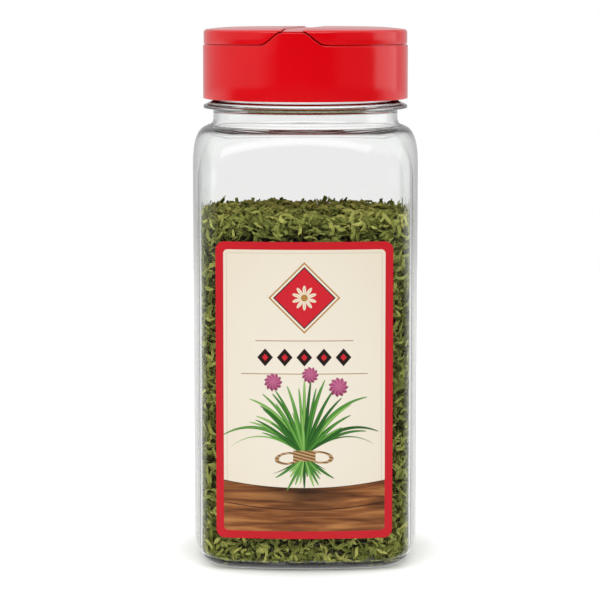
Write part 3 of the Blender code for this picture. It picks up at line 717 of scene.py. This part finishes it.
def side_flakes(count):
    """Centres at random along the wall and up it, at a random depth behind it, facing outwards."""
    closed = np.vstack([inner_outline, inner_outline[:1]])
    lengths = np.concatenate([[0.0], np.cumsum(np.linalg.norm(np.diff(closed, axis=0), axis=1))])
    place = rng.uniform(0.0, lengths[-1], count)
    flat = np.stack([np.interp(place, lengths, closed[:, axis]) for axis in (0, 1)], axis=1)
    angles = np.concatenate([RING_ANGLES, RING_ANGLES[:1] + TURN])
    angle = np.interp(place, lengths, angles)
    facing = np.stack([np.cos(angle), np.sin(angle), 0 * angle], axis=1)
    depth = WALL_GAP + 0.0003 + FLAKE_DEPTH * rng.uniform(0.0, 1.0, count) ** 1.3
    height = rng.uniform(FLOOR_THICKNESS + 0.0008, FILL_TOP - 0.0005, count)
    centres = np.column_stack([flat - facing[:, :2] * depth[:, None], height])
    squeeze = np.minimum(1.0, (room_at(centres) - depth) / np.hypot(centres[:, 0], centres[:, 1]))
    centres[:, :2] *= squeeze[:, None]
    rise = np.clip((height - FLOOR_THICKNESS) / INNER_HEEL_HEIGHT, 0.0, 1.0)
    facing[:, 2] = -1.2 * (1 - rise) ** 1.5
    facing /= np.linalg.norm(facing, axis=1, keepdims=True)
    return centres, facing, 0.14 + 120.0 * depth


def level_flakes(count, height, facing_up, depth_range):
    """Centres at random over a level surface, at a random depth from it, facing up or down."""
    square = rng.uniform(-1.0, 1.0, (count, 2)) * BODY_HALF
    points = np.column_stack([square, np.full(count, 0.05)])
    inside = np.hypot(square[:, 0], square[:, 1]) < room_at(points) - 0.0012
    square = square[inside]
    depth = rng.uniform(0.0, depth_range, len(square))
    z = height(square[:, 0], square[:, 1]) - facing_up * depth
    facing = np.tile([0.0, 0.0, facing_up], (len(square), 1))
    return np.column_stack([square, z]), facing


def dried_chive():
    """Dried chive: dull olive green that runs from near brown to yellow green from flake to flake,
    with fine streaks and specks, and a painted highlight that makes each flake's edges paler."""
    finish, tree, place = new_finish("dried_chive")
    tint = tree.add("Attribute", {"attribute_name": "tint"}, output="Fac")
    rim = tree.add("Attribute", {"attribute_name": "rim"}, output="Fac")
    stops = (
        (0.0, (0.022, 0.020, 0.005)),
        (0.22, (0.080, 0.086, 0.018)),
        (0.45, (0.175, 0.192, 0.042)),
        (0.68, (0.255, 0.280, 0.064)),
        (0.86, (0.370, 0.390, 0.095)),
        (1.0, (0.540, 0.540, 0.150)),
    )
    specks = tree.noise(place, 900.0, 3.0)
    patches = tree.noise(place, 55.0, 2.0)
    # The rim term paints a highlight along each flake's edges.
    shade = tint + (specks - 0.5) * 0.30 + (patches - 0.5) * 0.20 + rim * 0.06
    colour = tree.ramp(shade, stops)
    bump = tree.bump(specks, 0.5, 0.0002)
    sockets = {"Base Color": colour, "Roughness": 0.8, "Specular IOR Level": 0.0, "Normal": bump}
    return coated(finish, tree, sockets)


def core_mesh():
    """The mass behind the flakes: the jar's inside moved in, with a rough skin."""
    outline = body_outline(WALL + CORE_INSET)
    levels = np.linspace(0.012, FILL_TOP - 0.009, 46)
    wall = stacked(outline, levels)
    foot = stacked(outline * 0.86, [FLOOR_THICKNESS + 0.0052])
    middle = stacked(outline * 0.94, [FLOOR_THICKNESS + 0.0065])
    crowns = [0.96, 0.86, 0.7, 0.5, 0.3, 0.12]
    crown = np.concatenate([stacked(outline * scale, [FILL_TOP - 0.006]) for scale in crowns])
    crown[..., 2] = heap_at(crown[..., 0], crown[..., 1]) - CORE_DROP
    rows = np.concatenate([foot, middle, wall, crown])
    rows += rng.uniform(-CORE_ROUGHNESS, CORE_ROUGHNESS, rows.shape)
    foot_pole = (0.0, 0.0, FLOOR_THICKNESS + FLOOR_RISE + 0.0035)
    return grid_mesh("chive_core", rows, foot_pole, (0.0, 0.0, FILL_TOP - CORE_DROP))


def make_chives():
    """The core and the flakes round it, in six pieces that share one material."""
    finish = dried_chive()
    core = core_mesh()
    # Painted shade: the core's dark tint stands for the shade deep inside the heap.
    mark(core, "tint", np.full(len(core.vertices), CORE_PAINTED_SHADE))
    mark(core, "rim", np.zeros(len(core.vertices)))
    pieces = [add_piece("chive_core", core, finish)]
    centres, facing, tilt = side_flakes(SIDE_FLAKES)
    points = flake_points(centres, facing, tilt, 1.0)
    quarter = np.round(np.arctan2(centres[:, 1], centres[:, 0]) / QUARTER).astype(int) % 4
    for side, name in enumerate(("right", "back", "left", "front")):
        name = f"chive_flakes_{name}"
        pieces.append(add_piece(name, flake_mesh(name, points[quarter == side]), finish, 40))
    top = level_flakes(TOP_FLAKES, heap_at, 1.0, TOP_DEPTH)
    top = flake_points(*top, TOP_TILT, TOP_SCALE)
    base = level_flakes(BASE_FLAKES, lambda x, y: floor_at(x, y) + BASE_LIFT, -1.0, BASE_DEPTH)
    base = flake_points(*base, BASE_TILT, 1.0)
    ends = np.concatenate([top, base])
    pieces.append(add_piece("chive_flakes_ends", flake_mesh("chive_flakes_ends", ends), finish, 40))
    for piece in pieces:
        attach(piece, "jar")
        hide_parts("chives")


make_chives()

# Label: a printed film sticker with rounded corners, stuck on the bowed front side. A cream field in
# a red border carries a lozenge badge, a row of dark lozenges and a tied sheaf of chives on a board.

LABEL_WIDTH = 0.0489
LABEL_BOTTOM = 0.0101
LABEL_TOP = 0.0929
LABEL_CENTRE_X = -0.00035
LABEL_CORNER = 0.0024
LABEL_GAP = 0.00025
LABEL_THICKNESS = 0.0003
LABEL_COLUMNS = 60
LABEL_ROWS = 60
BORDER_WIDTH = 2.15
FIELD_CORNER = 1.2
RULE_INSET = 0.9
INK_SOFTNESS = 0.10
BADGE_UP = 26.0
BADGE_HALF = 8.6
ROW_UP = 9.5
SHEAF_UP = -18.0
SHEAF_SPREAD = 1.05
BOARD_TOP = -27.0
GEM_STEP = 5.4
GOLD = (0.44, 0.22, 0.045)


def front_surface(x, out):
    """Where the front side's bowed surface, moved out by out, lies at this x."""
    junction = SIDE_BOW_RADIUS * math.sin(SIDE_ANGLE)
    side = SIDE_ARC_BACK - np.sqrt((SIDE_BOW_RADIUS + out) ** 2 - x**2)
    beyond = np.clip(np.abs(x) - CORNER_CENTRE, 0.0, CORNER_RADIUS)
    corner = -CORNER_CENTRE - np.sqrt((CORNER_RADIUS + out) ** 2 - beyond**2)
    return np.where(np.abs(x) <= junction, side, corner)


def label_mesh():
    """A thin sheet: columns across the front, each as tall as the rounded corners leave it, with
    a face, a back and the edges between them."""
    turn = np.linspace(0.0, QUARTER, 12)
    end = LABEL_CORNER * (1 - np.cos(turn))
    middle = np.linspace(LABEL_CORNER, LABEL_WIDTH - LABEL_CORNER, LABEL_COLUMNS)[1:-1]
    across = np.concatenate([end, middle, LABEL_WIDTH - end[::-1]])
    into = np.clip(LABEL_CORNER - np.minimum(across, LABEL_WIDTH - across), 0.0, LABEL_CORNER)
    cut = LABEL_CORNER - np.sqrt(LABEL_CORNER**2 - into**2)
    x = (LABEL_CENTRE_X - LABEL_WIDTH / 2 + across)[:, None]
    share = np.linspace(0.0, 1.0, LABEL_ROWS)[None, :]
    low, high = LABEL_BOTTOM + cut[:, None], LABEL_TOP - cut[:, None]
    z = low + (high - low) * share
    x = np.broadcast_to(x, z.shape)
    face = np.stack([x, front_surface(x, LABEL_GAP + LABEL_THICKNESS), z], axis=2)
    back = np.stack([x, front_surface(x, LABEL_GAP), z], axis=2)
    loops = np.concatenate([face, back[:, ::-1]], axis=1)
    ends = loops[0].mean(axis=0), loops[-1].mean(axis=0)
    return grid_mesh("front_label", loops, *ends)


def within(distance, limit, softness=INK_SOFTNESS):
    """A mask: 1 where a distance is under its limit, with a soft edge."""
    return 1 - distance.step(limit, softness)


def blade_fan(tree, across, up, count, length, droop, seed):
    """A fan of blades from one root. Each place is turned into an angle about the root and a
    distance from it. The angle shrinks with distance, so that blades arch outwards, and picks the
    blade, whose number draws its length and tint. Gives a mask and a shade."""
    reach = hypot(across, up)
    angle = across.math("ARCTAN2", up) / (1 + reach * reach * (droop / length**2))
    place = angle * (count / (2 * SHEAF_SPREAD)) + (0.5 * count + seed)
    number = place.math("FLOOR")
    draws = tree.add("TexWhiteNoise", {"noise_dimensions": "1D"}, {"W": number + seed * 7.31})
    tint = tree.add("TexWhiteNoise", {"noise_dimensions": "1D"}, {"W": number * 1.7 + seed})
    share = reach / (length * (0.55 + draws * 0.45))
    gap = abs(place - number - 0.5) * reach * (2 * SHEAF_SPREAD / count)
    taper = (1 - share).math("MAXIMUM", 0.0).math("SQRT") * 0.62
    inside = within(gap, taper) * within(share, 0.985, 0.02)
    inside = inside * within(abs(angle), SHEAF_SPREAD * 0.92, 0.02)
    shade = tint * 0.62 + (1 - gap / (taper + 0.05)) * 0.30 + share * 0.12
    return inside * reach.step(0.3, 0.2), shade


def printed_label():
    """The print, worked out from the place on the label in millimetres: masks with soft edges for
    the border, the rules, the badge, the board and each blade, laid over one another."""
    finish, tree, place = new_finish("printed_film")
    x, y, z = tree.axes(place)
    across = (x - LABEL_CENTRE_X) * 1000
    up = (z - 0.5 * (LABEL_BOTTOM + LABEL_TOP)) * 1000
    half_wide = 500 * LABEL_WIDTH - BORDER_WIDTH
    half_tall = 500 * (LABEL_TOP - LABEL_BOTTOM) - BORDER_WIDTH
    paper = tree.noise(place, 60.0, 4.0)
    glow = (across * across + up * up * 0.3) / 1100
    colour = tree.blend(glow, (0.815, 0.755, 0.640), (0.760, 0.685, 0.545))

    def past_box(inset):
        """How far outside the inner field a place is, once the field is drawn in by an inset."""
        corner = max(FIELD_CORNER - inset, 0.4)
        over_x = (abs(across) - (half_wide - inset - corner)).math("MAXIMUM", 0.0)
        over_z = (abs(up) - (half_tall - inset - corner)).math("MAXIMUM", 0.0)
        return hypot(over_x, over_z) - corner

    def lay(mask, ink):
        """Lays an ink over the print so far, as strongly as the mask says."""
        nonlocal colour
        colour = tree.blend(mask, colour, ink)

    lay(paper * 0.14, (0.70, 0.60, 0.44))
    lay(within(abs(past_box(RULE_INSET)), 0.09) * 0.55, (0.50, 0.40, 0.24))

    badge_up = up - BADGE_UP
    lozenge = abs(across) + abs(badge_up)
    turn = across.math("ARCTAN2", badge_up)
    away = hypot(across, badge_up)
    lay(within(abs(lozenge - BADGE_HALF - 1.0), 0.28), GOLD)
    lay(within(lozenge, BADGE_HALF), (0.030, 0.018, 0.014))
    lay(within(lozenge, BADGE_HALF - 0.42), (0.610, 0.010, 0.022))
    petals = abs((turn * 5).math("COSINE"))
    flower = away / (1.1 + petals * 2.3)
    lay(within(flower, 1.0, 0.08), (0.80, 0.72, 0.56))
    veins = (turn * 20).math("COSINE").step(0.55, 0.5) * within(flower, 0.86, 0.1)
    lay(veins * 0.45, (0.45, 0.25, 0.10))
    lay(within(away, 0.95), GOLD)

    cell = (across / GEM_STEP).math("ROUND")
    in_row = within(abs(cell), 2.5, 0.1)
    gem = abs(across - cell * GEM_STEP) * 1.15 + abs(up - ROW_UP)
    lay(within(gem, 2.5) * in_row, (0.022, 0.012, 0.010))
    lay(within(gem, 1.0) * in_row, (0.60, 0.012, 0.022))
    for rule_up, reach in ((ROW_UP + 4.6, 13.5), (ROW_UP - 4.6, 17.5)):
        line = within(abs(up - rule_up), 0.11) * within(abs(across), reach)
        lay(line, (0.36, 0.20, 0.07))

    stretched = tree.add("Mapping", None, {"Vector": place, "Scale": (60.0, 60.0, 700.0)})
    grain = tree.noise(stretched, 1.0, 5.0, 0.6)
    wood_stops = (
        (0.30, (0.085, 0.026, 0.008)),
        (0.50, (0.250, 0.085, 0.022)),
        (0.70, (0.450, 0.190, 0.055)),
    )
    wood = tree.ramp(grain, wood_stops)
    board_top = across * across * 0.004 + BOARD_TOP
    board = within(up - board_top, 0.0, 0.12)
    seam = within(abs(up - board_top + 6.2), 0.16)
    edge = within(abs(up - board_top), 0.22)
    wood = tree.blend(seam.math("MAXIMUM", edge) * 0.75, wood, (0.035, 0.012, 0.005))
    lay(board, wood)
    shadow = 1 - hypot(across, (up - (BOARD_TOP - 1.6)) * 2.4) / 15
    lay(shadow.math("MAXIMUM", 0.0) * board * 0.8, (0.02, 0.012, 0.006))

    blade_stops = (
        (0.05, (0.008, 0.040, 0.006)),
        (0.35, (0.020, 0.115, 0.014)),
        (0.62, (0.070, 0.260, 0.030)),
        (0.85, (0.210, 0.440, 0.085)),
        (1.00, (0.420, 0.600, 0.200)),
    )
    sheaf_up = up - SHEAF_UP
    layers = (
        (sheaf_up * -1, 15, 11.0, 0.10, 3.0),
        (sheaf_up, 13, 25.0, 0.75, 11.0),
        (sheaf_up, 17, 23.0, 0.45, 5.5),
        (sheaf_up, 11, 19.5, 0.20, 8.25),
    )
    for along, count, length, droop, seed in layers:
        inside, shade = blade_fan(tree, across, along, count, length, droop, seed)
        lay(inside, tree.ramp(shade, blade_stops))

    for flower_across, flower_up, size in ((-8.6, 2.6, 2.5), (9.4, 1.2, 2.7), (1.6, 4.6, 2.3)):
        off_x, off_z = across - flower_across, up - flower_up
        away = hypot(off_x, off_z) / size
        rays = (off_x.math("ARCTAN2", off_z) * 11 + away * 5).math("COSINE")
        inside = within(away + rays * 0.09, 0.92, 0.10)
        shade = (rays * 0.25 + 0.5) * (1.25 - away * 0.6) + off_z * 0.06
        rose = tree.blend(shade.math("MINIMUM", 1.0), (0.180, 0.012, 0.060), (0.700, 0.190, 0.360))
        lay(inside, rose)

    strands = (across * 2.0 + up * 7.0).math("SINE") * 0.5 + 0.5
    twine = tree.blend(strands, (0.130, 0.060, 0.020), (0.560, 0.340, 0.150))
    lay(within(abs(sheaf_up), 1.5) * within(abs(across), 3.1), twine)
    for side, drop in ((-1, 0.7), (1, 0.4)):
        off_x = (across - side * 4.3 + sheaf_up * side * 0.35) / 3.0
        off_z = (sheaf_up + drop) / 1.5
        lay(within(abs(hypot(off_x, off_z) - 1), 0.19), twine)

    red = tree.blend(paper, (0.530, 0.003, 0.010), (0.590, 0.007, 0.018))
    lay(past_box(0.0).step(0.0, 0.10), red)
    bump = tree.bump(tree.noise(place, 2500.0, 2.0), 0.06, 0.0001)
    roughness = 0.38 + (paper - 0.5) * 0.08
    sockets = {"Base Color": colour, "Roughness": roughness, "IOR": 1.4, "Normal": bump}
    return coated(finish, tree, sockets)


label = add_piece("front_label", label_mesh(), printed_label(), 40)
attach(label, "jar")
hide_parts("label")

# Cap base: one red polypropylene moulding with a smooth skirt, a deck with its openings, a bar from
# front to back, a riser flush with the skirt at each end of the bar, and the thread inside.

CAP_TURN = math.radians(-7.6)
CAP_RADIUS = 0.0291
CAP_BOTTOM = 0.1309
CAP_WALL = 0.0013
CAP_EDGE = 0.0003
CAP_COLUMNS = 480
CAP_THREAD_CREST = 0.02675
CAP_THREAD_START = 0.1334
DECK_TOP = 0.1461
DECK_THICKNESS = 0.0014
CAP_TOP = 0.1511
BAR_HALF = 0.00285
BAR_TOP = 0.1507
BAR_END = 0.0286
BAR_FOOT = 0.1501
BAR_ROUND = 0.00035
RISER_HALF_BOTTOM = 0.0081
RISER_HALF_TOP = 0.0037
RISER_TOP = 0.1498
RISER_INNER = 0.0267
RISER_FOOT_FILLET = 0.0007
RISER_TOP_ROUND = 0.0004
NOTCH_DEPTH = 0.0006
NOTCH_HALF = 0.0055
HOLE_RADIUS = 0.0033
HOLE_PLACES = (
    (-0.0085, 0.0),
    (-0.0085, 0.0105),
    (-0.0085, -0.0105),
    (-0.0170, 0.0052),
    (-0.0170, -0.0052),
)
HOLE_CHAMFER = 0.0003
SPOON_RADIUS = 0.0215
SPOON_EDGE_X = 0.0062
SPOON_CORNER = 0.0012
CUTTER_DEPTH = 0.003
CROWN_RADIUS = 0.0205
CROWN_DROP = 0.0006
CROWN_POWER = 1.74
CROWN_CORNER = 0.0010
UPSTAND_RADIUS = 0.0273
UPSTAND_LEDGE = 0.0287
UPSTAND_HEIGHT = 0.0010
UPSTAND_WALL = 0.0006
LEDGE_HEIGHT = 0.00022
UPSTAND_SUNK = 0.0003


def screwed_home(points):
    """Points of the cap, drawn with its bar from front to back, turned to where the cap stops."""
    c, s = math.cos(CAP_TURN), math.sin(CAP_TURN)
    x, y, z = np.moveaxis(np.asarray(points, float), -1, 0)
    return np.stack([x * c - y * s, x * s + y * c, z], axis=-1)


def round_larger(a, b, width):
    """The larger of two values, with the kink between them rounded off."""
    return 0.5 * (a + b + np.sqrt((a - b) ** 2 + width**2))


def riser_height(x, gap, foot):
    """The height of the riser's trapezoid edge at this x, grown by a gap, above a foot level."""
    slope = (RISER_TOP - DECK_TOP) / (RISER_HALF_BOTTOM - RISER_HALF_TOP)
    line = DECK_TOP + slope * (RISER_HALF_BOTTOM + 1.6 * gap - np.abs(x))
    capped = -round_larger(-line, -(RISER_TOP + gap), RISER_TOP_ROUND)
    return round_larger(capped, foot, RISER_FOOT_FILLET)


def crown_height(r, radius):
    """The height of the cap's top surface: flat, then a gentle fall, then a rounded corner."""
    edge = radius - CROWN_CORNER
    fall = CROWN_DROP * np.clip((r - CROWN_RADIUS) / (edge - CROWN_RADIUS), 0.0, 1.0) ** CROWN_POWER
    over = np.clip(r - edge, 0.0, CROWN_CORNER)
    return CAP_TOP - fall - CROWN_CORNER + np.sqrt(CROWN_CORNER**2 - over**2)


def skirt_mesh():
    """The skirt and deck, turned round the axis. The skirt's top edge rises into each riser and
    dips in a thumb notch at each side, and the ridge of the thread swells its inner wall."""
    angle = np.linspace(0.0, TURN, CAP_COLUMNS, endpoint=False)
    x, y = CAP_RADIUS * np.cos(angle), CAP_RADIUS * np.sin(angle)
    notch = NOTCH_DEPTH * np.clip(1 - (y / NOTCH_HALF) ** 2, 0.0, 1.0) ** 2
    top = riser_height(x, 0.0, DECK_TOP) - notch
    inner = CAP_RADIUS - CAP_WALL
    under = DECK_TOP - DECK_THICKNESS
    behind = np.minimum(RISER_INNER / np.maximum(np.abs(np.sin(angle)), 0.5), CAP_RADIUS - 0.0012)
    ones = np.ones(CAP_COLUMNS)
    rows = [(share * inner * ones, under * ones) for share in (0.05, 0.35, 0.7, 0.97)]
    levels = np.linspace(under - 0.0003, CAP_BOTTOM + 0.0003, 46)
    ridges = thread_ridge(angle / TURN, levels[:, None], CAP_THREAD_START)
    for level, ridge in zip(levels, ridges):
        rows.append((inner - (inner - CAP_THREAD_CREST) * ridge, level * ones))
    rows.append(((inner + 0.0002) * ones, CAP_BOTTOM * ones))
    for degrees in (-90, -60, -30, 0):
        out, up = math.cos(math.radians(degrees)), math.sin(math.radians(degrees))
        radius = CAP_RADIUS - CAP_EDGE * (1 - out)
        rows.append((radius * ones, (CAP_BOTTOM + CAP_EDGE * (1 + up)) * ones))
    for share in (0.35, 0.7):
        rows.append((CAP_RADIUS * ones, CAP_BOTTOM + share * (top - CAP_BOTTOM)))
    for degrees in (0, 22, 45, 67, 90):
        out, up = math.cos(math.radians(degrees)), math.sin(math.radians(degrees))
        rows.append(((CAP_RADIUS - CAP_EDGE * (1 - out)) * ones, top - CAP_EDGE * (1 - up)))
    lip = np.maximum(top, DECK_TOP - NOTCH_DEPTH)
    rows.append((behind + 0.0002, lip))
    rows.append((behind, lip - 0.5 * (lip - DECK_TOP) * (lip > DECK_TOP)))
    rows.append((behind - 0.0002, DECK_TOP * ones))
    rows += [(behind * share, DECK_TOP * ones) for share in (0.96, 0.7, 0.35, 0.05)]
    radii, heights = (np.array([row[part] for row in rows]) for part in (0, 1))
    points = np.stack([radii * np.cos(angle), radii * np.sin(angle), heights], axis=2)
    return grid_mesh("cap_body", points, (0.0, 0.0, under), (0.0, 0.0, DECK_TOP))


def half_moon(radius, edge_x, steps, corner):
    """A half-moon outline with rounded corners: an arc closed by a straight edge beside the bar."""
    limit = math.acos(edge_x / radius)
    arc_turn = np.linspace(-limit + corner / radius, limit - corner / radius, steps)
    arc_part = radius * np.stack([np.cos(arc_turn), np.sin(arc_turn)], axis=1)
    reach = math.sqrt(radius**2 - edge_x**2) - 1.3 * corner
    edge_part = np.stack([np.full(9, edge_x), np.linspace(reach, -reach, 9)], axis=1)
    return np.concatenate([arc_part, edge_part])


def at_height(plan, height):
    return np.column_stack([plan, np.full(len(plan), height)])


def opening_cutter(name, outline):
    """A plug through the deck with a chamfer at the deck's top."""
    centre = outline.mean(axis=0)
    wider = centre + (outline - centre) * (1 + 2 * HOLE_CHAMFER / np.abs(outline - centre).max())
    levels = ((outline, -CUTTER_DEPTH), (outline, -HOLE_CHAMFER), (wider, HOLE_CHAMFER))
    rows = [at_height(plan, DECK_TOP + dz) for plan, dz in levels]
    poles = (*centre, DECK_TOP - CUTTER_DEPTH), (*centre, DECK_TOP + HOLE_CHAMFER)
    return new_object(name, grid_mesh(name, np.array(rows), *poles))


def bar_mesh():
    """The bar: a rounded section swept from front to back under the crown, with rounded ends."""
    turn = np.linspace(-QUARTER, QUARTER, 41)
    y = BAR_END * np.sin(turn)
    reach = np.abs(y)
    near_end = np.clip((BAR_END - reach) / 0.0006, 0.0, 1.0)
    plump = np.sqrt(1 - (1 - near_end) ** 2)
    half = (BAR_HALF - 0.0003 + 0.0003 * plump)[:, None]
    crown = crown_height(np.minimum(reach + 0.0005, CAP_RADIUS), CAP_RADIUS)
    top = (crown - (CAP_TOP - BAR_TOP))[:, None]
    low = np.where(reach > RISER_INNER, BAR_FOOT, DECK_TOP - 0.0005)[:, None]
    corner = np.radians(np.linspace(0, 90, 5))
    side = half - BAR_ROUND * (1 - np.cos(corner))
    rise = top - BAR_ROUND * (1 - np.sin(corner))
    x = np.concatenate([half, side, -side[:, ::-1], -half], axis=1)
    z = np.concatenate([low, rise, rise[:, ::-1], low], axis=1)
    points = np.stack([x, np.broadcast_to(y[:, None], x.shape), z], axis=2)
    points = points[:, ::-1]
    return grid_mesh("cap_bar", points, points[0].mean(axis=0), points[-1].mean(axis=0))


def upstand_mesh():
    """A low ring on the deck that the lids' rims close over, with a ledge for them to rest on."""
    turn = np.linspace(0.0, TURN, 241)[:-1]
    inner = UPSTAND_RADIUS - UPSTAND_WALL
    ledge = ((UPSTAND_LEDGE, -UPSTAND_SUNK), (UPSTAND_LEDGE, LEDGE_HEIGHT))
    corner = ((UPSTAND_RADIUS, LEDGE_HEIGHT), (UPSTAND_RADIUS, UPSTAND_HEIGHT))
    profile = np.array((*ledge, *corner, (inner, UPSTAND_HEIGHT), (inner, -UPSTAND_SUNK)))
    radii, heights = profile[:, :1], DECK_TOP + profile[:, 1:]
    rows = [radii * np.cos(turn), radii * np.sin(turn), heights + 0 * turn]
    return grid_mesh("upstand", np.stack(rows, axis=2), closed_along=True)


def red_polypropylene():
    """Glossy red polypropylene: a slightly mottled body colour under fine moulding texture."""
    finish, tree, place = new_finish("red_polypropylene")
    mottle = tree.noise(place, 90.0, 3.0)
    colour = tree.blend(mottle, (0.655, 0.0009, 0.004), (0.705, 0.0013, 0.006))
    skin = tree.noise(place, 1400.0, 2.0)
    roughness = 0.13 + (skin - 0.5) * 0.05
    bump = tree.bump(skin, 0.05, 0.00008)
    sockets = {"Base Color": colour, "Roughness": roughness, "IOR": 1.49, "Normal": bump}
    return coated(finish, tree, sockets)


red_plastic = red_polypropylene()


def cap_piece(name, meshes):
    """Closed bodies of the cap as one red piece, turned to where the cap stops."""
    points, faces = [], []
    for mesh in meshes:
        start = sum(len(part) for part in points)
        spots = np.empty(3 * len(mesh.vertices))
        mesh.vertices.foreach_get("co", spots)
        points.append(screwed_home(spots.reshape(-1, 3)))
        faces += [[start + corner for corner in face.vertices] for face in mesh.polygons]
    whole = bpy.data.meshes.new(name)
    whole.from_pydata(np.concatenate(points).tolist(), [], faces)
    return add_piece(name, whole, red_plastic, 32)


def make_cap_base():
    """The skirt and deck with the openings cut through, joined to the bar and the low ring."""
    body = new_object("cap_body", skirt_mesh())
    turn = np.linspace(0.0, TURN, 48, endpoint=False)
    circle = HOLE_RADIUS * np.stack([np.cos(turn), np.sin(turn)], axis=1)
    outlines = [circle + np.array(spot) for spot in HOLE_PLACES]
    outlines.append(half_moon(SPOON_RADIUS, SPOON_EDGE_X, 48, SPOON_CORNER))
    helpers = [body]
    for number, outline in enumerate(outlines):
        cutter = opening_cutter(f"opening_{number}", outline)
        cut = body.modifiers.new(cutter.name, "BOOLEAN")
        cut.operation = "DIFFERENCE"
        cut.object = cutter
        helpers.append(cutter)
    bpy.context.view_layer.update()
    whole = body.evaluated_get(bpy.context.evaluated_depsgraph_get())
    baked = bpy.data.meshes.new_from_object(whole)
    for helper in helpers:
        bpy.data.objects.remove(helper, do_unlink=True)
    base = cap_piece("cap_body", [baked, bar_mesh(), upstand_mesh()])
    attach(base, "cap")
    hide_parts("cap_base")


make_cap_base()

# Flaps: two half-round lids in the cap's red polypropylene, each hung on thin webs beside the bar,
# with a rim that meets the skirt, a cut-out over each riser and a rib that closes its opening.

FLAP_RADIUS = 0.0289
FLAP_BOTTOM = 0.1464
FLAP_WALL = 0.0013
FLAP_COLUMNS = 280
FLAP_EDGE = 0.00022
RISER_GAP = 0.0003
HINGE_X = 0.00315
RIB_OUT = 0.0009
RIB_WALL = 0.0008
RIB_GAP = 0.0003
WEB_PLACES = (-0.0165, 0.0, 0.0165)
WEB_HALF = 0.0026
WEB_THIN = 0.00011
WEB_DROP = 0.00012


def flap_mesh(side):
    """A lid as closed sections from the hinge edge, over the crown, round the corner, down the rim
    and back inside. No point passes the hinge plane or comes nearer than a gap to the risers."""
    limit = math.acos(HINGE_X / FLAP_RADIUS)
    angle = np.linspace(-limit, limit, FLAP_COLUMNS)[:, None]
    hinge = HINGE_X / np.cos(angle)
    low = riser_height(FLAP_RADIUS * np.cos(angle), RISER_GAP, FLAP_BOTTOM)
    edge = FLAP_RADIUS - CROWN_CORNER
    share = np.linspace(0.0, 1.0, 14)[None, :]
    start = hinge + FLAP_EDGE
    crown_r = start + (np.maximum(edge, start) - start) * share
    corner = np.radians(np.linspace(80, 0, 8))[None, :]
    corner_r = edge + CROWN_CORNER * np.cos(corner) + 0 * angle
    outer_r = np.concatenate([crown_r, corner_r], axis=1)
    outer_z = crown_height(np.minimum(outer_r, FLAP_RADIUS), FLAP_RADIUS)
    lip = np.radians(np.linspace(0, -90, 4))[None, :]
    lip_r = FLAP_RADIUS - FLAP_EDGE * (1 - np.cos(lip)) + 0 * angle
    lip_z = low + FLAP_EDGE * (1 + np.sin(lip))
    inner_r = np.concatenate([0 * angle + FLAP_RADIUS - FLAP_WALL, crown_r[:, ::-1] - 0.0005], axis=1)
    inner_z = crown_height(np.minimum(inner_r, FLAP_RADIUS), FLAP_RADIUS) - FLAP_WALL
    foot_r, foot_z = inner_r[:, :1], low
    crest = crown_height(hinge, FLAP_RADIUS)
    bevel = 0.3 * FLAP_EDGE
    face_r = np.concatenate([hinge, hinge, hinge + bevel], axis=1)
    face_z = np.concatenate([crest - FLAP_WALL, crest - FLAP_EDGE, crest - bevel], axis=1)
    r = np.concatenate([face_r, outer_r, lip_r, foot_r, inner_r], axis=1)
    z = np.concatenate([face_z, outer_z, lip_z, foot_z, inner_z], axis=1)
    r = np.clip(r, hinge, FLAP_RADIUS)
    z = np.maximum(z, low)
    points = np.stack([side * r * np.cos(angle), r * np.sin(angle), z], axis=2)[::side]
    return grid_mesh("flap", points, points[0].mean(axis=0), points[-1].mean(axis=0))


def rib_mesh(side):
    """The rib under a lid: a thin half-moon wall that stands round the opening on the deck."""
    radius, edge_x = SPOON_RADIUS + RIB_OUT, SPOON_EDGE_X - RIB_OUT
    outer = half_moon(radius + RIB_WALL, edge_x - RIB_WALL, 60, 0.002)
    inner = half_moon(radius, edge_x, 60, 0.0014)
    tip, top = DECK_TOP + RIB_GAP, CAP_TOP - FLAP_WALL + 0.0004
    foot = tip + 0.0002
    loops = ((outer, foot), (outer, top), (inner, top), (inner, foot), (0.5 * (inner + outer), tip))
    rows = [at_height(plan * (side, 1), z) for plan, z in loops]
    return grid_mesh("rib", np.array(rows)[:, ::side], closed_along=True)


def web_meshes(side):
    """The webs of one hinge: three short thin strips from the bar's edge to the lid's edge."""
    section_x = np.array([BAR_HALF - 0.0006, HINGE_X - 0.00015, HINGE_X + 0.0006])
    x = side * np.concatenate([section_x, section_x[::-1]])
    z = BAR_TOP - WEB_DROP + WEB_THIN * np.array([1, 1, 1, -1, -1, -1])
    meshes = []
    for middle in WEB_PLACES:
        y = middle + WEB_HALF * np.array([[-1.0], [-0.9], [0.9], [1.0]])
        rows = np.stack(np.broadcast_arrays(x, y, z), axis=2)[:, ::-side]
        meshes.append(grid_mesh("web", rows, rows[0].mean(axis=0), rows[-1].mean(axis=0)))
    return meshes


for name, node, body, side in (
    ("flap_left", "flap_shake", "shake_flap", -1),
    ("flap_right", "flap_spoon", "spoon_flap", 1),
):
    flap = cap_piece(name, [flap_mesh(side), rib_mesh(side)])
    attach(flap, body)
    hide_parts(node)
    hinge = cap_piece(f"hinge_{name}", web_meshes(side))
    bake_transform(hinge)
